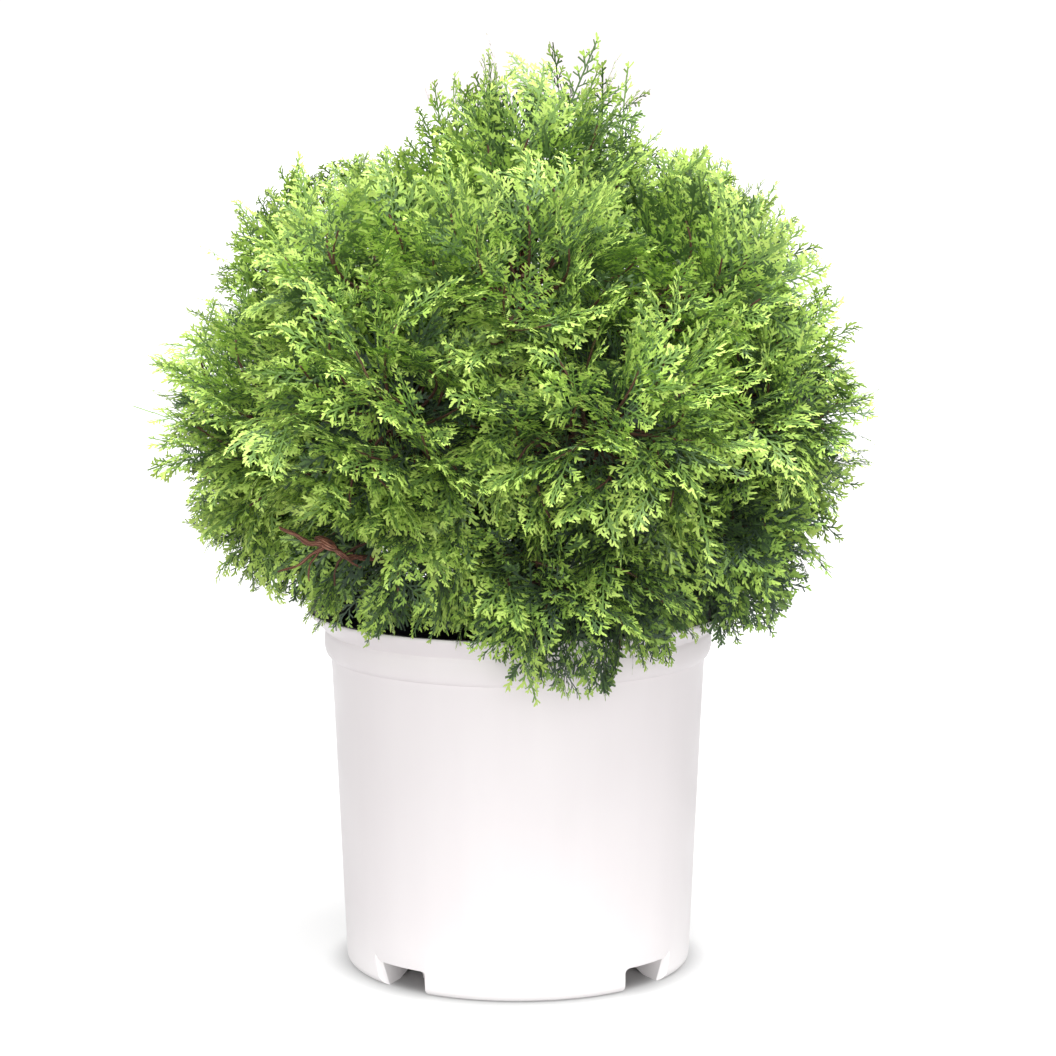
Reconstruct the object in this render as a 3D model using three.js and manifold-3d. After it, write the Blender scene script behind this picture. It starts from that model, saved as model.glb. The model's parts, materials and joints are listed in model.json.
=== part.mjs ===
// A potted eastern arborvitae: a low, dense globe of flat scale-leaf sprays on a short leaning trunk, in a
// round nursery pot filled with potting mix. Millimetres, +Z up. The origin is the centre of the pot's flat
// underside, and the front of the pot faces -Y. Azimuths are degrees from the front, growing towards +X.
import * as THREE from "three";
import { ConvexGeometry } from "three/addons/geometries/ConvexGeometry.js";
import { mergeVertices } from "three/addons/utils/BufferGeometryUtils.js";
import Module from "manifold-3d";

// Driving dimensions
const CLEARANCE = 0.3; // between neighbouring solids
const POT_HEIGHT = 240;
const POT_WALL = 1.8;
const POT_SIDES = 48;
const LIP_RADIUS = 140; // the flared lip's outer edge
const LIP_WIDTH = 2.4; // its flat top
const CREASE_RADIUS = 128; // where the flare meets the rounded bead
const CREASE_DROP = 14.5; // below the lip
const BEAD_RADIUS = 129;
const BEAD_DROP = 22;
const BEAD_FOOT_RADIUS = 124.3;
const BEAD_FOOT_DROP = 32;
const FOOT_RADIUS = 115.4;
const FOOT_CORNER = 6; // the rounded edge between wall and underside
const POT_TURN = 3; // degrees that the pot is turned in the photograph
const NOTCH_HEIGHT = 16.2;
const NOTCH_SLANT = 6.4; // how much narrower a notch is at the floor
const FACET_HEIGHT = 20; // the slanted facet beside each notch
const DRAIN_RADIUS = 6;

const SOIL_DROP = 44; // below the lip, at the wall
const SOIL_MOUND = 4; // how much the middle stands higher
const SOIL_SIDES = 24;

const TRUNK_RADIUS = 11;
const TRUNK_TIP_RADIUS = 4;
const ROOT_FLARE = 8; // added to the radius at the soil
const ROOT_FLARE_HEIGHT = 16;
const TRUNK_SIDES = 10;
const TRUNK_TOP = 482;
const TRUNK_BEND = 7; // how far the leaning trunk wanders from a straight line
const TRUNK_LEAN = 9; // towards +X at its tip
const BOUGH_SIDES = 5;
const BOUGH_STEPS = 4;

const CORE_SHARE = 0.7; // of a mass's radius; the sprays stand out of this core
const CORE_LUMP = 0.08; // how lumpy it is
const SPRAY_LENGTH = 66; // from its sunk root to its middle tooth
const SPRAY_WIDTH = 50;
const SPRAY_THICKNESS = 2.2; // in its middle
const SPRAY_THICKEST = 0.42; // the share of its length where that is
const SPRAY_TEETH = 3;
const SPRAY_SUNK = 0.78; // of the core's radius: where a spray's root lies
const CROWN_MIDDLE = new THREE.Vector3(0, 0, 350);
const TRIES = [1, 1, 0.85, 0.85, 0.7, 0.7]; // the lengths that a spray tries, each with a new lean
const STEM_RADIUS = 3;
const TWIG_RADIUS = 2;
const TWIG_TIP_RADIUS = 1.3;
const TWIG_SUNK = 5; // how far a twig runs on inside its spray
const WISP_EVERY = 6; // one spray in so many stands out of the core on a bare twig
const WISP_OUT = 1.18; // of the core's radius
const WISP_SHARE = 0.8; // of the usual length

// Tiers of foliage masses from the top down. turn is the first mass's azimuth, out its distance from the
// axis, and tall its upright radius. lift bends the sprays upwards, or lets them hang where it is negative.
// bough is the height at which the tier's boughs begin to leave the trunk.
const TIERS = [
  {
    name: "top", count: 1, turn: 60, height: 509, out: 5, radius: 84, tall: 78,
    sprays: 20, lift: 0.8, bough: 0,
  },
  {
    name: "upper", count: 6, turn: -114, height: 453, out: 112, radius: 86, tall: 80,
    sprays: 19, lift: 0.5, bough: 366,
  },
  {
    name: "middle", count: 7, turn: -84, height: 375, out: 147, radius: 90, tall: 88,
    sprays: 24, lift: 0.25, bough: 290,
  },
  {
    name: "lower", count: 7, turn: -38, height: 316, out: 132, radius: 80, tall: 62,
    sprays: 22, lift: -0.35, bough: 238,
  },
];
const SAG = 36; // how much lower the lowest masses hang on the side where they hang most
const SAG_SIDE = 26; // the azimuth of that side
const BOUGH_STAGGER = 44; // a tier's boughs leave the trunk spread over this much height
const BOUGH_ROOT_RADIUS = { upper: 4.6, middle: 5.6, lower: 6 };
const BOUGH_TIP_SHARE = 0.55; // of the root radius

const WHITE_PLASTIC = new THREE.MeshStandardMaterial({ color: 0xf2eff0, roughness: 0.38, metalness: 0 });
const POTTING_MIX = new THREE.MeshStandardMaterial({ color: 0x2b1f18, roughness: 0.95, metalness: 0 });
const BARK = new THREE.MeshStandardMaterial({ color: 0x6b4232, roughness: 0.9, metalness: 0 });
const FOLIAGE = new THREE.MeshStandardMaterial({ color: 0x5f9a35, roughness: 0.6, metalness: 0 });

const wasm = await Module();
wasm.setup();
const UP = new THREE.Vector3(0, 0, 1);

// Solids
function solidFrom(geometry) {
  const bare = new THREE.BufferGeometry().setAttribute("position", geometry.getAttribute("position"));
  if (geometry.index) bare.setIndex(geometry.index);
  const merged = mergeVertices(bare, 1e-4);
  return new wasm.Manifold(
    new wasm.Mesh({
      numProp: 3,
      vertProperties: new Float32Array(merged.attributes.position.array),
      triVerts: new Uint32Array(merged.index.array),
    }),
  );
}

function geometryFrom(solid) {
  const mesh = solid.getMesh();
  const geometry = new THREE.BufferGeometry();
  geometry.setAttribute("position", new THREE.BufferAttribute(new Float32Array(mesh.vertProperties), 3));
  geometry.setIndex(new THREE.BufferAttribute(new Uint32Array(mesh.triVerts), 1));
  return geometry;
}

function largestBody(solid) {
  return solid.decompose().reduce((best, body) => (body.volume() > best.volume() ? body : best));
}

// A solid of revolution about Z from [radius, height] points that start and end on the axis.
function turned(profile, sides) {
  const geometry = new THREE.LatheGeometry(
    profile.map(([radius, height]) => new THREE.Vector2(radius, height)),
    sides,
  );
  geometry.rotateX(Math.PI / 2);
  return solidFrom(geometry);
}

// The smallest convex solid round some [x, y, z] points.
function convexSolid(points) {
  return solidFrom(new ConvexGeometry(points.map((point) => new THREE.Vector3(...point))));
}

// A seeded stream of numbers from 0 to 1.
function seededRandom(seed) {
  let state = seed >>> 0;
  return () => {
    state = (state + 0x6d2b79f5) >>> 0;
    let t = state;
    t = Math.imul(t ^ (t >>> 15), t | 1);
    t ^= t + Math.imul(t ^ (t >>> 7), t | 61);
    return ((t ^ (t >>> 14)) >>> 0) / 4294967296;
  };
}

function outwards(azimuth) {
  const angle = THREE.MathUtils.degToRad(azimuth);
  return new THREE.Vector3(Math.sin(angle), -Math.cos(angle), 0);
}

// Pot
// The outside from the underside's middle to the lip. inset moves it in by the wall, so it serves both faces.
function potProfile(inset) {
  const top = POT_HEIGHT;
  const corner = [];
  const cornerSteps = inset ? 1 : 3;
  for (let i = 0; i <= cornerSteps; i++) {
    const angle = (i / cornerSteps) * (Math.PI / 2);
    corner.push([
      FOOT_RADIUS - FOOT_CORNER + FOOT_CORNER * Math.sin(angle) - inset,
      FOOT_CORNER * (1 - Math.cos(angle)) + inset,
    ]);
  }
  const bead = [
    [BEAD_FOOT_RADIUS - inset, top - BEAD_FOOT_DROP],
    [BEAD_RADIUS - 1.6 - inset, top - BEAD_DROP - 6],
    [BEAD_RADIUS - inset, top - BEAD_DROP],
    [CREASE_RADIUS - inset, top - CREASE_DROP],
  ];
  const rim = inset
    ? [[LIP_RADIUS - LIP_WIDTH, top], [LIP_RADIUS - LIP_WIDTH, top + 1], [0, top + 1]]
    : [[LIP_RADIUS, top - 1.6], [LIP_RADIUS, top], [0, top]];
  return [[0, inset], ...corner, ...bead, ...rim];
}

// One notch between two feet, with its near side square to the front, and the slanted facet beside it. grow
// widens both by the wall, for the inside of the shell.
function notch(sideways, lengthways, grow) {
  const near = [
    [65 - grow, 140],
    [65 - grow, 60 - grow],
    [66 - grow, 36 - grow],
  ];
  const far = [
    [78.4 + grow, 36 - grow],
    [99.8 + grow, 80 - grow],
    [110 + grow, 140],
  ];
  const channel = [
    ...[...near, ...far].map(([x, y]) => [x, y, NOTCH_HEIGHT + grow]),
    ...near.map(([x, y]) => [x, y, -1]),
    ...far.map(([x, y]) => [x - NOTCH_SLANT, y, -1]),
  ];
  const facet = [
    [96.9, 63.6, FACET_HEIGHT],
    [92.3, 64.6, NOTCH_HEIGHT],
    [95, 74, NOTCH_HEIGHT],
    [104.5, 64, 14],
    [87.2, 67.2, -1],
    [88.5, 74, -1],
    [101, 71.5, -1],
  ].map(([x, y, z]) => [x, y - 1.5 * grow, z + grow]);
  const placed = (points) => points.map(([x, y, z]) => [x * sideways, -y * lengthways, z]);
  return convexSolid(placed(channel)).add(convexSolid(placed(facet)));
}

function allNotches(grow) {
  const corners = [[-1, 1], [1, 1], [1, -1], [-1, -1]];
  return corners.map(([x, y]) => notch(x, y, grow)).reduce((all, one) => all.add(one));
}

function drainHoles() {
  const holes = [45, 135, 225, 315].map((azimuth) => {
    const at = outwards(azimuth).multiplyScalar(100);
    const drill = new THREE.CylinderGeometry(DRAIN_RADIUS, DRAIN_RADIUS, 20, 10);
    drill.rotateX(Math.PI / 2).translate(at.x, at.y, NOTCH_HEIGHT);
    return solidFrom(drill);
  });
  return holes.reduce((all, one) => all.add(one));
}

function makePot() {
  const outside = turned(potProfile(0), POT_SIDES).subtract(allNotches(0));
  const inside = turned(potProfile(POT_WALL), POT_SIDES).subtract(allNotches(POT_WALL));
  return outside.subtract(inside).subtract(drainHoles()).rotate([0, 0, POT_TURN]);
}

// The pot and its filling as one plug, a little larger: foliage keeps out of it.
function potKeepOut() {
  const outside = potProfile(0).slice(0, -2);
  const inner = BEAD_FOOT_RADIUS - POT_WALL - 2;
  return turned(
    [
      ...outside.map(([radius, height]) => [radius && radius + 1, height]),
      [LIP_RADIUS + 1, POT_HEIGHT + 1],
      [LIP_RADIUS - LIP_WIDTH - 1, POT_HEIGHT + 1],
      [inner, POT_HEIGHT - CREASE_DROP + 1],
      [inner, POT_HEIGHT - SOIL_DROP + 1],
      [0, soilHeight(0) + 1],
    ],
    POT_SIDES,
  );
}

// Potting mix
function soilHeight(radius) {
  const share = 1 - Math.min(1, radius / (CREASE_RADIUS - POT_WALL));
  return POT_HEIGHT - SOIL_DROP + SOIL_MOUND * Math.min(1, share * 1.4);
}

function makeSoil() {
  const gap = POT_WALL + CLEARANCE;
  const wall = potProfile(gap).slice(0, 3);
  const wallSlope = (BEAD_FOOT_RADIUS - FOOT_RADIUS) / (POT_HEIGHT - BEAD_FOOT_DROP - FOOT_CORNER);
  const top = POT_HEIGHT - SOIL_DROP;
  const body = turned(
    [
      ...wall,
      [BEAD_FOOT_RADIUS - gap + wallSlope * (BEAD_FOOT_DROP - SOIL_DROP), top],
      [70, soilHeight(70)],
      [30, soilHeight(0)],
      [0, soilHeight(0)],
    ],
    SOIL_SIDES,
  );
  return body.subtract(allNotches(gap + CLEARANCE)).rotate([0, 0, POT_TURN]);
}

// Limbs
// A tapering limb along a curve, with a flat cut at each end. radiusAt takes the share of the way along it.
function limb(curve, radiusAt, sides, steps) {
  const position = [];
  const index = [];
  const side = new THREE.Vector3();
  const across = new THREE.Vector3();
  for (let i = 0; i <= steps; i++) {
    const share = i / steps;
    const middle = curve.getPoint(share);
    const along = curve.getTangent(share);
    side.crossVectors(Math.abs(along.z) > 0.9 ? new THREE.Vector3(1, 0, 0) : UP, along).normalize();
    across.crossVectors(along, side);
    for (let j = 0; j < sides; j++) {
      const angle = (j / sides) * 2 * Math.PI;
      const point = middle.clone();
      point.addScaledVector(side, radiusAt(share) * Math.cos(angle));
      point.addScaledVector(across, radiusAt(share) * Math.sin(angle));
      position.push(...point);
    }
  }
  for (let i = 0; i < steps; i++) {
    for (let j = 0; j < sides; j++) {
      const next = (j + 1) % sides;
      const [a, b] = [i * sides + j, i * sides + next];
      index.push(a, b, b + sides, a, b + sides, a + sides);
    }
  }
  for (let j = 1; j < sides - 1; j++) {
    index.push(0, j + 1, j);
    const last = steps * sides;
    index.push(last, last + j, last + j + 1);
  }
  const geometry = new THREE.BufferGeometry();
  geometry.setAttribute("position", new THREE.Float32BufferAttribute(position, 3));
  geometry.setIndex(index);
  return solidFrom(geometry);
}

// The trunk's middle line: it leans to the right and wanders a little on its way up.
const TRUNK_FOOT = soilHeight(0) + CLEARANCE;
function trunkMiddle(height) {
  const share = (height - TRUNK_FOOT) / (TRUNK_TOP - TRUNK_FOOT);
  return new THREE.Vector3(
    TRUNK_LEAN * share + TRUNK_BEND * Math.sin(share * 5.2) * share,
    TRUNK_BEND * Math.sin(share * 4.1 + 0.6) * share,
    height,
  );
}

function trunkRadius(height) {
  const share = (height - TRUNK_FOOT) / (TRUNK_TOP - TRUNK_FOOT);
  const flare = Math.max(0, 1 - (height - TRUNK_FOOT) / ROOT_FLARE_HEIGHT);
  return THREE.MathUtils.lerp(TRUNK_RADIUS, TRUNK_TIP_RADIUS, share) + ROOT_FLARE * flare * flare;
}

function makeTrunk(grow) {
  const steps = 13;
  const heights = [];
  for (let i = 0; i <= steps; i++) heights.push(TRUNK_FOOT + (TRUNK_TOP - TRUNK_FOOT) * (i / steps) ** 1.35);
  const position = [];
  const index = [];
  heights.forEach((height, i) => {
    const raised = i === steps ? height + grow : height;
    const middle = trunkMiddle(height);
    for (let j = 0; j < TRUNK_SIDES; j++) {
      const angle = (j / TRUNK_SIDES) * 2 * Math.PI;
      const radius = trunkRadius(height) + grow;
      position.push(middle.x + radius * Math.cos(angle), middle.y + radius * Math.sin(angle), raised);
    }
  });
  for (let i = 0; i < steps; i++) {
    for (let j = 0; j < TRUNK_SIDES; j++) {
      const next = (j + 1) % TRUNK_SIDES;
      const [a, b] = [i * TRUNK_SIDES + j, i * TRUNK_SIDES + next];
      index.push(a, b, b + TRUNK_SIDES, a, b + TRUNK_SIDES, a + TRUNK_SIDES);
    }
  }
  for (let j = 1; j < TRUNK_SIDES - 1; j++) {
    index.push(0, j + 1, j);
    const last = steps * TRUNK_SIDES;
    index.push(last, last + j, last + j + 1);
  }
  const geometry = new THREE.BufferGeometry();
  geometry.setAttribute("position", new THREE.Float32BufferAttribute(position, 3));
  geometry.setIndex(index);
  return solidFrom(geometry);
}

// Masses: where each one lies, and the bough that carries it
function layOutMasses() {
  const masses = [];
  for (const tier of TIERS) {
    for (let i = 0; i < tier.count; i++) {
      const random = seededRandom(7919 * (masses.length + 1));
      const azimuth = tier.turn + (360 / tier.count) * i + (random() - 0.5) * 10;
      const out = outwards(azimuth);
      const centre = out.clone().multiplyScalar(tier.out + (random() - 0.5) * 8);
      centre.z = tier.height + (random() - 0.5) * 14;
      if (tier.lift < 0) centre.z -= SAG * Math.max(0, out.dot(outwards(SAG_SIDE))) ** 3;
      const leavesAt = tier.bough + ((i * 0.3) % 1) * BOUGH_STAGGER;
      const mass = { name: `foliage_${tier.name}_${i + 1}`, tier, azimuth, out, centre, random, leavesAt };
      mass.radius = tier.radius * (0.97 + 0.06 * random());
      mass.root = trunkMiddle(tier.bough ? leavesAt : TRUNK_TOP);
      const inwards = mass.root.clone().sub(centre).normalize();
      mass.entry = centre.clone().addScaledVector(inwards, CORE_SHARE * mass.radius + 7);
      if (!tier.bough) mass.entry.copy(mass.root);
      masses.push(mass);
    }
  }
  return masses;
}

function boughCurve(mass) {
  const middle = mass.root.clone().lerp(mass.entry, 0.5);
  const sag = mass.root.distanceTo(mass.entry) * 0.13;
  middle.z -= sag * (mass.tier.lift < 0 ? -0.6 : 1);
  middle.addScaledVector(new THREE.Vector3().crossVectors(UP, mass.out), sag * (mass.random() - 0.5) * 2);
  return new THREE.QuadraticBezierCurve3(mass.root.clone(), middle, mass.entry.clone());
}

function makeBough(mass, grow) {
  const root = BOUGH_ROOT_RADIUS[mass.tier.name];
  const radiusAt = (share) => THREE.MathUtils.lerp(root, root * BOUGH_TIP_SHARE, share) + grow;
  const curve = mass.curve.clone();
  if (grow) curve.v2.addScaledVector(mass.curve.getTangent(1), grow);
  return limb(curve, radiusAt, BOUGH_SIDES, BOUGH_STEPS);
}

// Foliage
// From a mass's centre to its lumpy core's surface, kept short of the planes where its neighbours begin.
function coreReach(mass, walls, direction) {
  const { x, y, z } = direction;
  const phase = mass.azimuth;
  const size = CORE_SHARE * (1 + CORE_LUMP * Math.sin(4 * x + phase) * Math.cos(5 * y - phase + 2 * z));
  const reach = new THREE.Vector3(x * mass.radius, y * mass.radius, z * mass.tier.tall).multiplyScalar(size);
  let share = 1;
  for (const { normal, offset } of walls) {
    const falls = -normal.dot(reach);
    const room = normal.dot(mass.centre) - offset - CLEARANCE;
    if (falls > room) share = Math.min(share, room / falls);
  }
  return reach.multiplyScalar(share);
}

function makeCore(mass, walls) {
  const geometry = new THREE.IcosahedronGeometry(1, 1);
  const position = geometry.getAttribute("position");
  for (let i = 0; i < position.count; i++) {
    const direction = new THREE.Vector3().fromBufferAttribute(position, i);
    position.setXYZ(i, ...coreReach(mass, walls, direction).add(mass.centre));
  }
  return solidFrom(geometry);
}

// The planes between a mass and the others. The mass lies on the side that the normal points to.
function wallsOf(mass, masses) {
  return masses
    .filter((other) => other !== mass)
    .map((other) => {
      const between = other.centre.clone().sub(mass.centre);
      const share = mass.radius / (mass.radius + other.radius);
      const point = mass.centre.clone().addScaledVector(between, share);
      const normal = between.normalize().negate();
      return { normal, offset: normal.dot(point) };
    });
}

// A toothed blade that grows along +Y from its root in the XY plane: thick in its middle, thin at its edges.
function sprayBlade(length) {
  const outline = [[0, 0]];
  for (let i = 0; i < SPRAY_TEETH; i++) {
    const side = 1 - (2 * i) / (SPRAY_TEETH - 1); // 1 on the right, -1 on the left
    outline.push([(SPRAY_WIDTH / 2) * side, length * (1 - 0.34 * side * side)]);
    const gap = side - 1 / (SPRAY_TEETH - 1);
    if (i < SPRAY_TEETH - 1) outline.push([SPRAY_WIDTH * 0.4 * gap, length * (0.68 - 0.18 * gap * gap)]);
  }
  const count = outline.length;
  const position = outline.flatMap(([x, y]) => [x, y, 0]);
  const middle = length * SPRAY_THICKEST;
  position.push(0, middle, SPRAY_THICKNESS / 2, 0, middle, -SPRAY_THICKNESS / 2);
  const index = [];
  for (let i = 0; i < count; i++) {
    const next = (i + 1) % count;
    index.push(count, i, next, count + 1, next, i);
  }
  const geometry = new THREE.BufferGeometry();
  geometry.setAttribute("position", new THREE.Float32BufferAttribute(position, 3));
  geometry.setIndex(index);
  return geometry;
}

// Directions spread evenly over a ball by the golden angle, from its top down.
function goldenDirection(i, count) {
  const height = 1 - (2 * (i + 0.5)) / count;
  const angle = i * Math.PI * (3 - Math.sqrt(5));
  const level = Math.sqrt(1 - height * height);
  return new THREE.Vector3(level * Math.cos(angle), level * Math.sin(angle), height);
}

// A spray's place: its root lies in the core, and it leans over the core's surface like a shingle, upwards
// near the top of the crown and downwards near its foot.
function sprayPlace(mass, root, direction) {
  const { lift } = mass.tier;
  const side = new THREE.Vector3().crossVectors(UP, direction).normalize();
  const along = new THREE.Vector3().crossVectors(direction, side);
  const lean = along.multiplyScalar(lift + 0.5 * direction.z + (mass.random() - 0.5) * 0.8);
  lean.addScaledVector(side, (mass.random() - 0.5) * 1.2).normalize();
  const stand = 0.38 + 0.7 * mass.random() ** 3;
  const way = direction.clone().multiplyScalar(stand).addScaledVector(lean, 0.75).normalize();
  const roll = (mass.random() - 0.5) * 0.7;
  const level = new THREE.Vector3().crossVectors(way, direction).normalize().applyAxisAngle(way, roll);
  const face = new THREE.Vector3().crossVectors(level, way);
  return new THREE.Matrix4().makeBasis(level, way, face).setPosition(root);
}

function insideWalls(geometry, walls) {
  const points = geometry.getAttribute("position");
  const point = new THREE.Vector3();
  return walls.every(({ normal, offset }) => {
    for (let i = 0; i < points.count; i++) {
      if (normal.dot(point.fromBufferAttribute(points, i)) < offset + CLEARANCE) return false;
    }
    return true;
  });
}

// A twig that forks off the mass's stem and ends sunk in the root of its spray.
function makeTwig(mass, end) {
  const fork = mass.entry.clone().lerp(mass.centre, 0.5 + 0.5 * mass.random());
  const radiusAt = (share) => THREE.MathUtils.lerp(TWIG_RADIUS, TWIG_TIP_RADIUS, share);
  return limb(new THREE.LineCurve3(fork, end), radiusAt, 3, 1);
}

// The twigs of a mass and their sprays. Most sprays root in the core, and every few stand out on a bare
// twig. No spray crosses another outside the core.
function growthOf(mass, coreSolid, walls, keepOut) {
  const found = [];
  let taken = keepOut;
  const around = mass.tier.sprays * 2;
  const outward = mass.centre.clone().sub(CROWN_MIDDLE).normalize();
  for (let i = 0; i < around; i++) {
    const direction = goldenDirection(i, around);
    if (direction.dot(outward) < -0.1) continue;
    const isWisp = i % WISP_EVERY === 0;
    const depth = isWisp ? WISP_OUT : SPRAY_SUNK;
    const root = coreReach(mass, walls, direction).multiplyScalar(depth).add(mass.centre);
    const length = SPRAY_LENGTH * (0.8 + 0.4 * mass.random()) * (isWisp ? WISP_SHARE : 1);
    for (const share of TRIES) {
      const place = sprayPlace(mass, root, direction);
      const blade = sprayBlade(length * share).applyMatrix4(place);
      if (!insideWalls(blade, walls)) continue;
      const spray = solidFrom(blade);
      const outside = spray.subtract(coreSolid);
      if (!outside.intersect(taken).isEmpty()) continue;
      taken = taken.add(outside);
      const end = new THREE.Vector3(0, TWIG_SUNK, 0).applyMatrix4(place);
      found.push(makeTwig(mass, end), spray);
      break;
    }
  }
  return found;
}

function makeStem(mass) {
  const back = mass.entry.clone().sub(mass.centre);
  const start = mass.entry.clone().addScaledVector(back.normalize(), 1);
  return limb(new THREE.LineCurve3(start, mass.centre.clone()), () => STEM_RADIUS, 3, 1);
}

function makeMass(mass, masses, keepOut) {
  const walls = wallsOf(mass, masses);
  const core = makeCore(mass, walls);
  const parts = [core, makeStem(mass), ...growthOf(mass, core, walls, keepOut)];
  return largestBody(parts.reduce((all, one) => all.add(one)).subtract(keepOut));
}

// Assembly
const plant = new THREE.Group();
function place(name, solid, material) {
  const mesh = new THREE.Mesh(geometryFrom(solid), material);
  mesh.name = name;
  plant.add(mesh);
}

place("pot", makePot(), WHITE_PLASTIC);
place("potting_mix", makeSoil(), POTTING_MIX);

const masses = layOutMasses();
for (const mass of masses) mass.curve = boughCurve(mass);
const carried = masses.filter((mass) => mass.tier.bough);
const trunkRoom = makeTrunk(CLEARANCE);
place("trunk", makeTrunk(0), BARK);
carried.forEach((mass) => {
  place(mass.name.replace("foliage", "bough"), largestBody(makeBough(mass, 0).subtract(trunkRoom)), BARK);
});

const limbRoom = carried.reduce((all, mass) => all.add(makeBough(mass, CLEARANCE)), trunkRoom);
const keepOut = potKeepOut().add(limbRoom);
for (const mass of masses) {
  place(mass.name, makeMass(mass, masses, keepOut), FOLIAGE);
}

export default plant;
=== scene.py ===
# A potted eastern arborvitae: a dense globe of flat scale-leaf sprays on twisted red-brown limbs, in a white
# nursery pot. Metres, +Z up, the origin at the centre of the pot's flat underside, and the front towards -Y.
# Azimuths are degrees from the front, growing towards +X.
import json
import math
from collections import defaultdict
from dataclasses import dataclass, field

import bmesh
import bpy
import numpy as np
from mathutils import Matrix, Vector, noise as field_noise

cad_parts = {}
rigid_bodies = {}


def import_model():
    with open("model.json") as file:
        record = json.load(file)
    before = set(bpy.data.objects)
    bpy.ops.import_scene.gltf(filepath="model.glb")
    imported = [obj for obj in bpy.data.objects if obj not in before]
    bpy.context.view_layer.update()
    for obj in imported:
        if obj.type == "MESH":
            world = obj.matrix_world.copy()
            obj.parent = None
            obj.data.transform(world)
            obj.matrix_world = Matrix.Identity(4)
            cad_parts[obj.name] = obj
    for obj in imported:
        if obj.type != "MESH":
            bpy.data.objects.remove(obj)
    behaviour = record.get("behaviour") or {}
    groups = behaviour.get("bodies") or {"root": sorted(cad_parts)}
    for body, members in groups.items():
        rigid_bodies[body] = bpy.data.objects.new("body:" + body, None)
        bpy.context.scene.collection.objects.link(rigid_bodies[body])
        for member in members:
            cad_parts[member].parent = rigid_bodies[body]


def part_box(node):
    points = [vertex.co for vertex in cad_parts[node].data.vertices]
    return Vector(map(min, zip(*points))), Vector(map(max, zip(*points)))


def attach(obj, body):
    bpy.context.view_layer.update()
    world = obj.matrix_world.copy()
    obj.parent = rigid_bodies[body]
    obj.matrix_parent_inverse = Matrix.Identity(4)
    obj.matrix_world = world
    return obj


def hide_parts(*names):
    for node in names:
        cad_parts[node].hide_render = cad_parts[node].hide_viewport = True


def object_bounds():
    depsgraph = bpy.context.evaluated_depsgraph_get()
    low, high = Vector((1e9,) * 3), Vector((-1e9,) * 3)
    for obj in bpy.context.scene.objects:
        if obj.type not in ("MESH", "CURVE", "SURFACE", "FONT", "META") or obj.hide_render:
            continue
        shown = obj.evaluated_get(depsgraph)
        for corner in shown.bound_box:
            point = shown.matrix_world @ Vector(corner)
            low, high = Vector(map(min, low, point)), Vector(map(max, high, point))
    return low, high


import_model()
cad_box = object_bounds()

MM = 0.001
UP = np.array([0.0, 0.0, 1.0])
GOLDEN_ANGLE = math.pi * (3 - math.sqrt(5))

# Camera and room
CAMERA_PLACE = (6.7 * MM, -2.1604, 0.601)
CAMERA_PITCH = 0.142  # radians below level
CAMERA_LENS = 111.94  # millimetres on a 36 mm sensor
SKY_ABOVE = (0.8, 0.8, 0.8)
SKY_LEVEL = (0.65, 0.59, 0.615)
SKY_BELOW = (0.70, 0.65, 0.67)
BESIDE_BACKDROP = 0.3  # of the sky's light, where two dark flags stand behind the plant
BACKDROP = 1.8  # of the sky's light, straight behind the plant
LIGHT_SPREAD = math.radians(50)
OVERHEAD_LIGHT = ((-0.06, 0.14, -0.98), LIGHT_SPREAD, 4.7)  # the way it shines, its spread and its strength
FRONT_LIGHT = ((-0.06, 1, -0.06), LIGHT_SPREAD, 1.65)
FLOOR_RADIUS = 40
FLOOR_MIDDLE_RADIUS = 0.15  # its middle part, which casts light back
FLOOR_SIDES = 96
FLOOR_SHADES = (0.35, 0.37)
FLOOR_GLOW = 0.68
# The floor's glow is nil within GLOW_START of the pot's axis and full beyond GLOW_FULL: a painted contact
# shadow under and round the pot's foot.
GLOW_START = 98 * MM  # from the pot's axis
GLOW_FULL = 134 * MM

# Pot
POT_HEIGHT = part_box("pot")[1].z
POT_WALL = 1.8 * MM
POT_SIDES = 192
WALL_RINGS = (0.12, 0.32, 0.55, 0.78)
FLARE_STEPS = 6
LIP_RADIUS = 140 * MM
LIP_WIDTH = 2.4 * MM
LIP_ROUND = 0.8 * MM  # its outer edge
CREASE_RADIUS = 128 * MM
CREASE_DROP = 14.5 * MM
BEAD_RADIUS = 129 * MM
BEAD_DROP = 22 * MM
BEAD_FOOT_RADIUS = 124.3 * MM
BEAD_FOOT_DROP = 32 * MM
FOOT_RADIUS = 115.4 * MM
FOOT_CORNER = 6 * MM
POT_TURN = Matrix.Rotation(math.radians(3), 4, "Z")
NOTCH_HEIGHT = 16.2 * MM
NOTCH_SLANT = 6.4 * MM  # how much narrower a notch is at the floor
NOTCHES = ((-1, 1), (1, 1), (1, -1), (-1, -1))  # which way each lies, sideways and forwards
FOOT_ROUND = 4.5 * MM  # the corner of the front foot
DRAIN_RADIUS = 6 * MM
DRAIN_OUT = 100 * MM
DRAIN_SIDES = 24
SOFT_EDGE = 0.5 * MM
SHARP_ANGLE = math.radians(32)  # flatter edges are shaded smooth

# Potting mix
SOIL_DROP = 44 * MM
SOIL_MOUND = 4 * MM
SOIL_GAP = 0.3 * MM  # between the mix and the wall
SOIL_RINGS = 40
SOIL_SIDES = 120
HEAP_HEIGHT = 1.6 * MM
HEAPS_A_METRE = 60
CALM_AT_WALL = 6 * MM
CALM_AT_TRUNK = 24 * MM  # from its middle
HEAPS_BEGIN = 20 * MM  # beyond that, until they are full
CRUMB_SEED = 41
SCATTER_SEED = 7
CRUMB_DENSITY = 30000  # a square metre
CRUMB_RADIUS = 1.6 * MM
CRUMB_SIZES = (0.6, 1.8)  # of the smallest and the largest, as shares of that
CRUMB_STRETCHES = ((1, 0.8, 0.6), (1.5, 0.6, 0.35), (2.2, 0.5, 0.28), (0.8, 0.7, 0.6))

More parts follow.
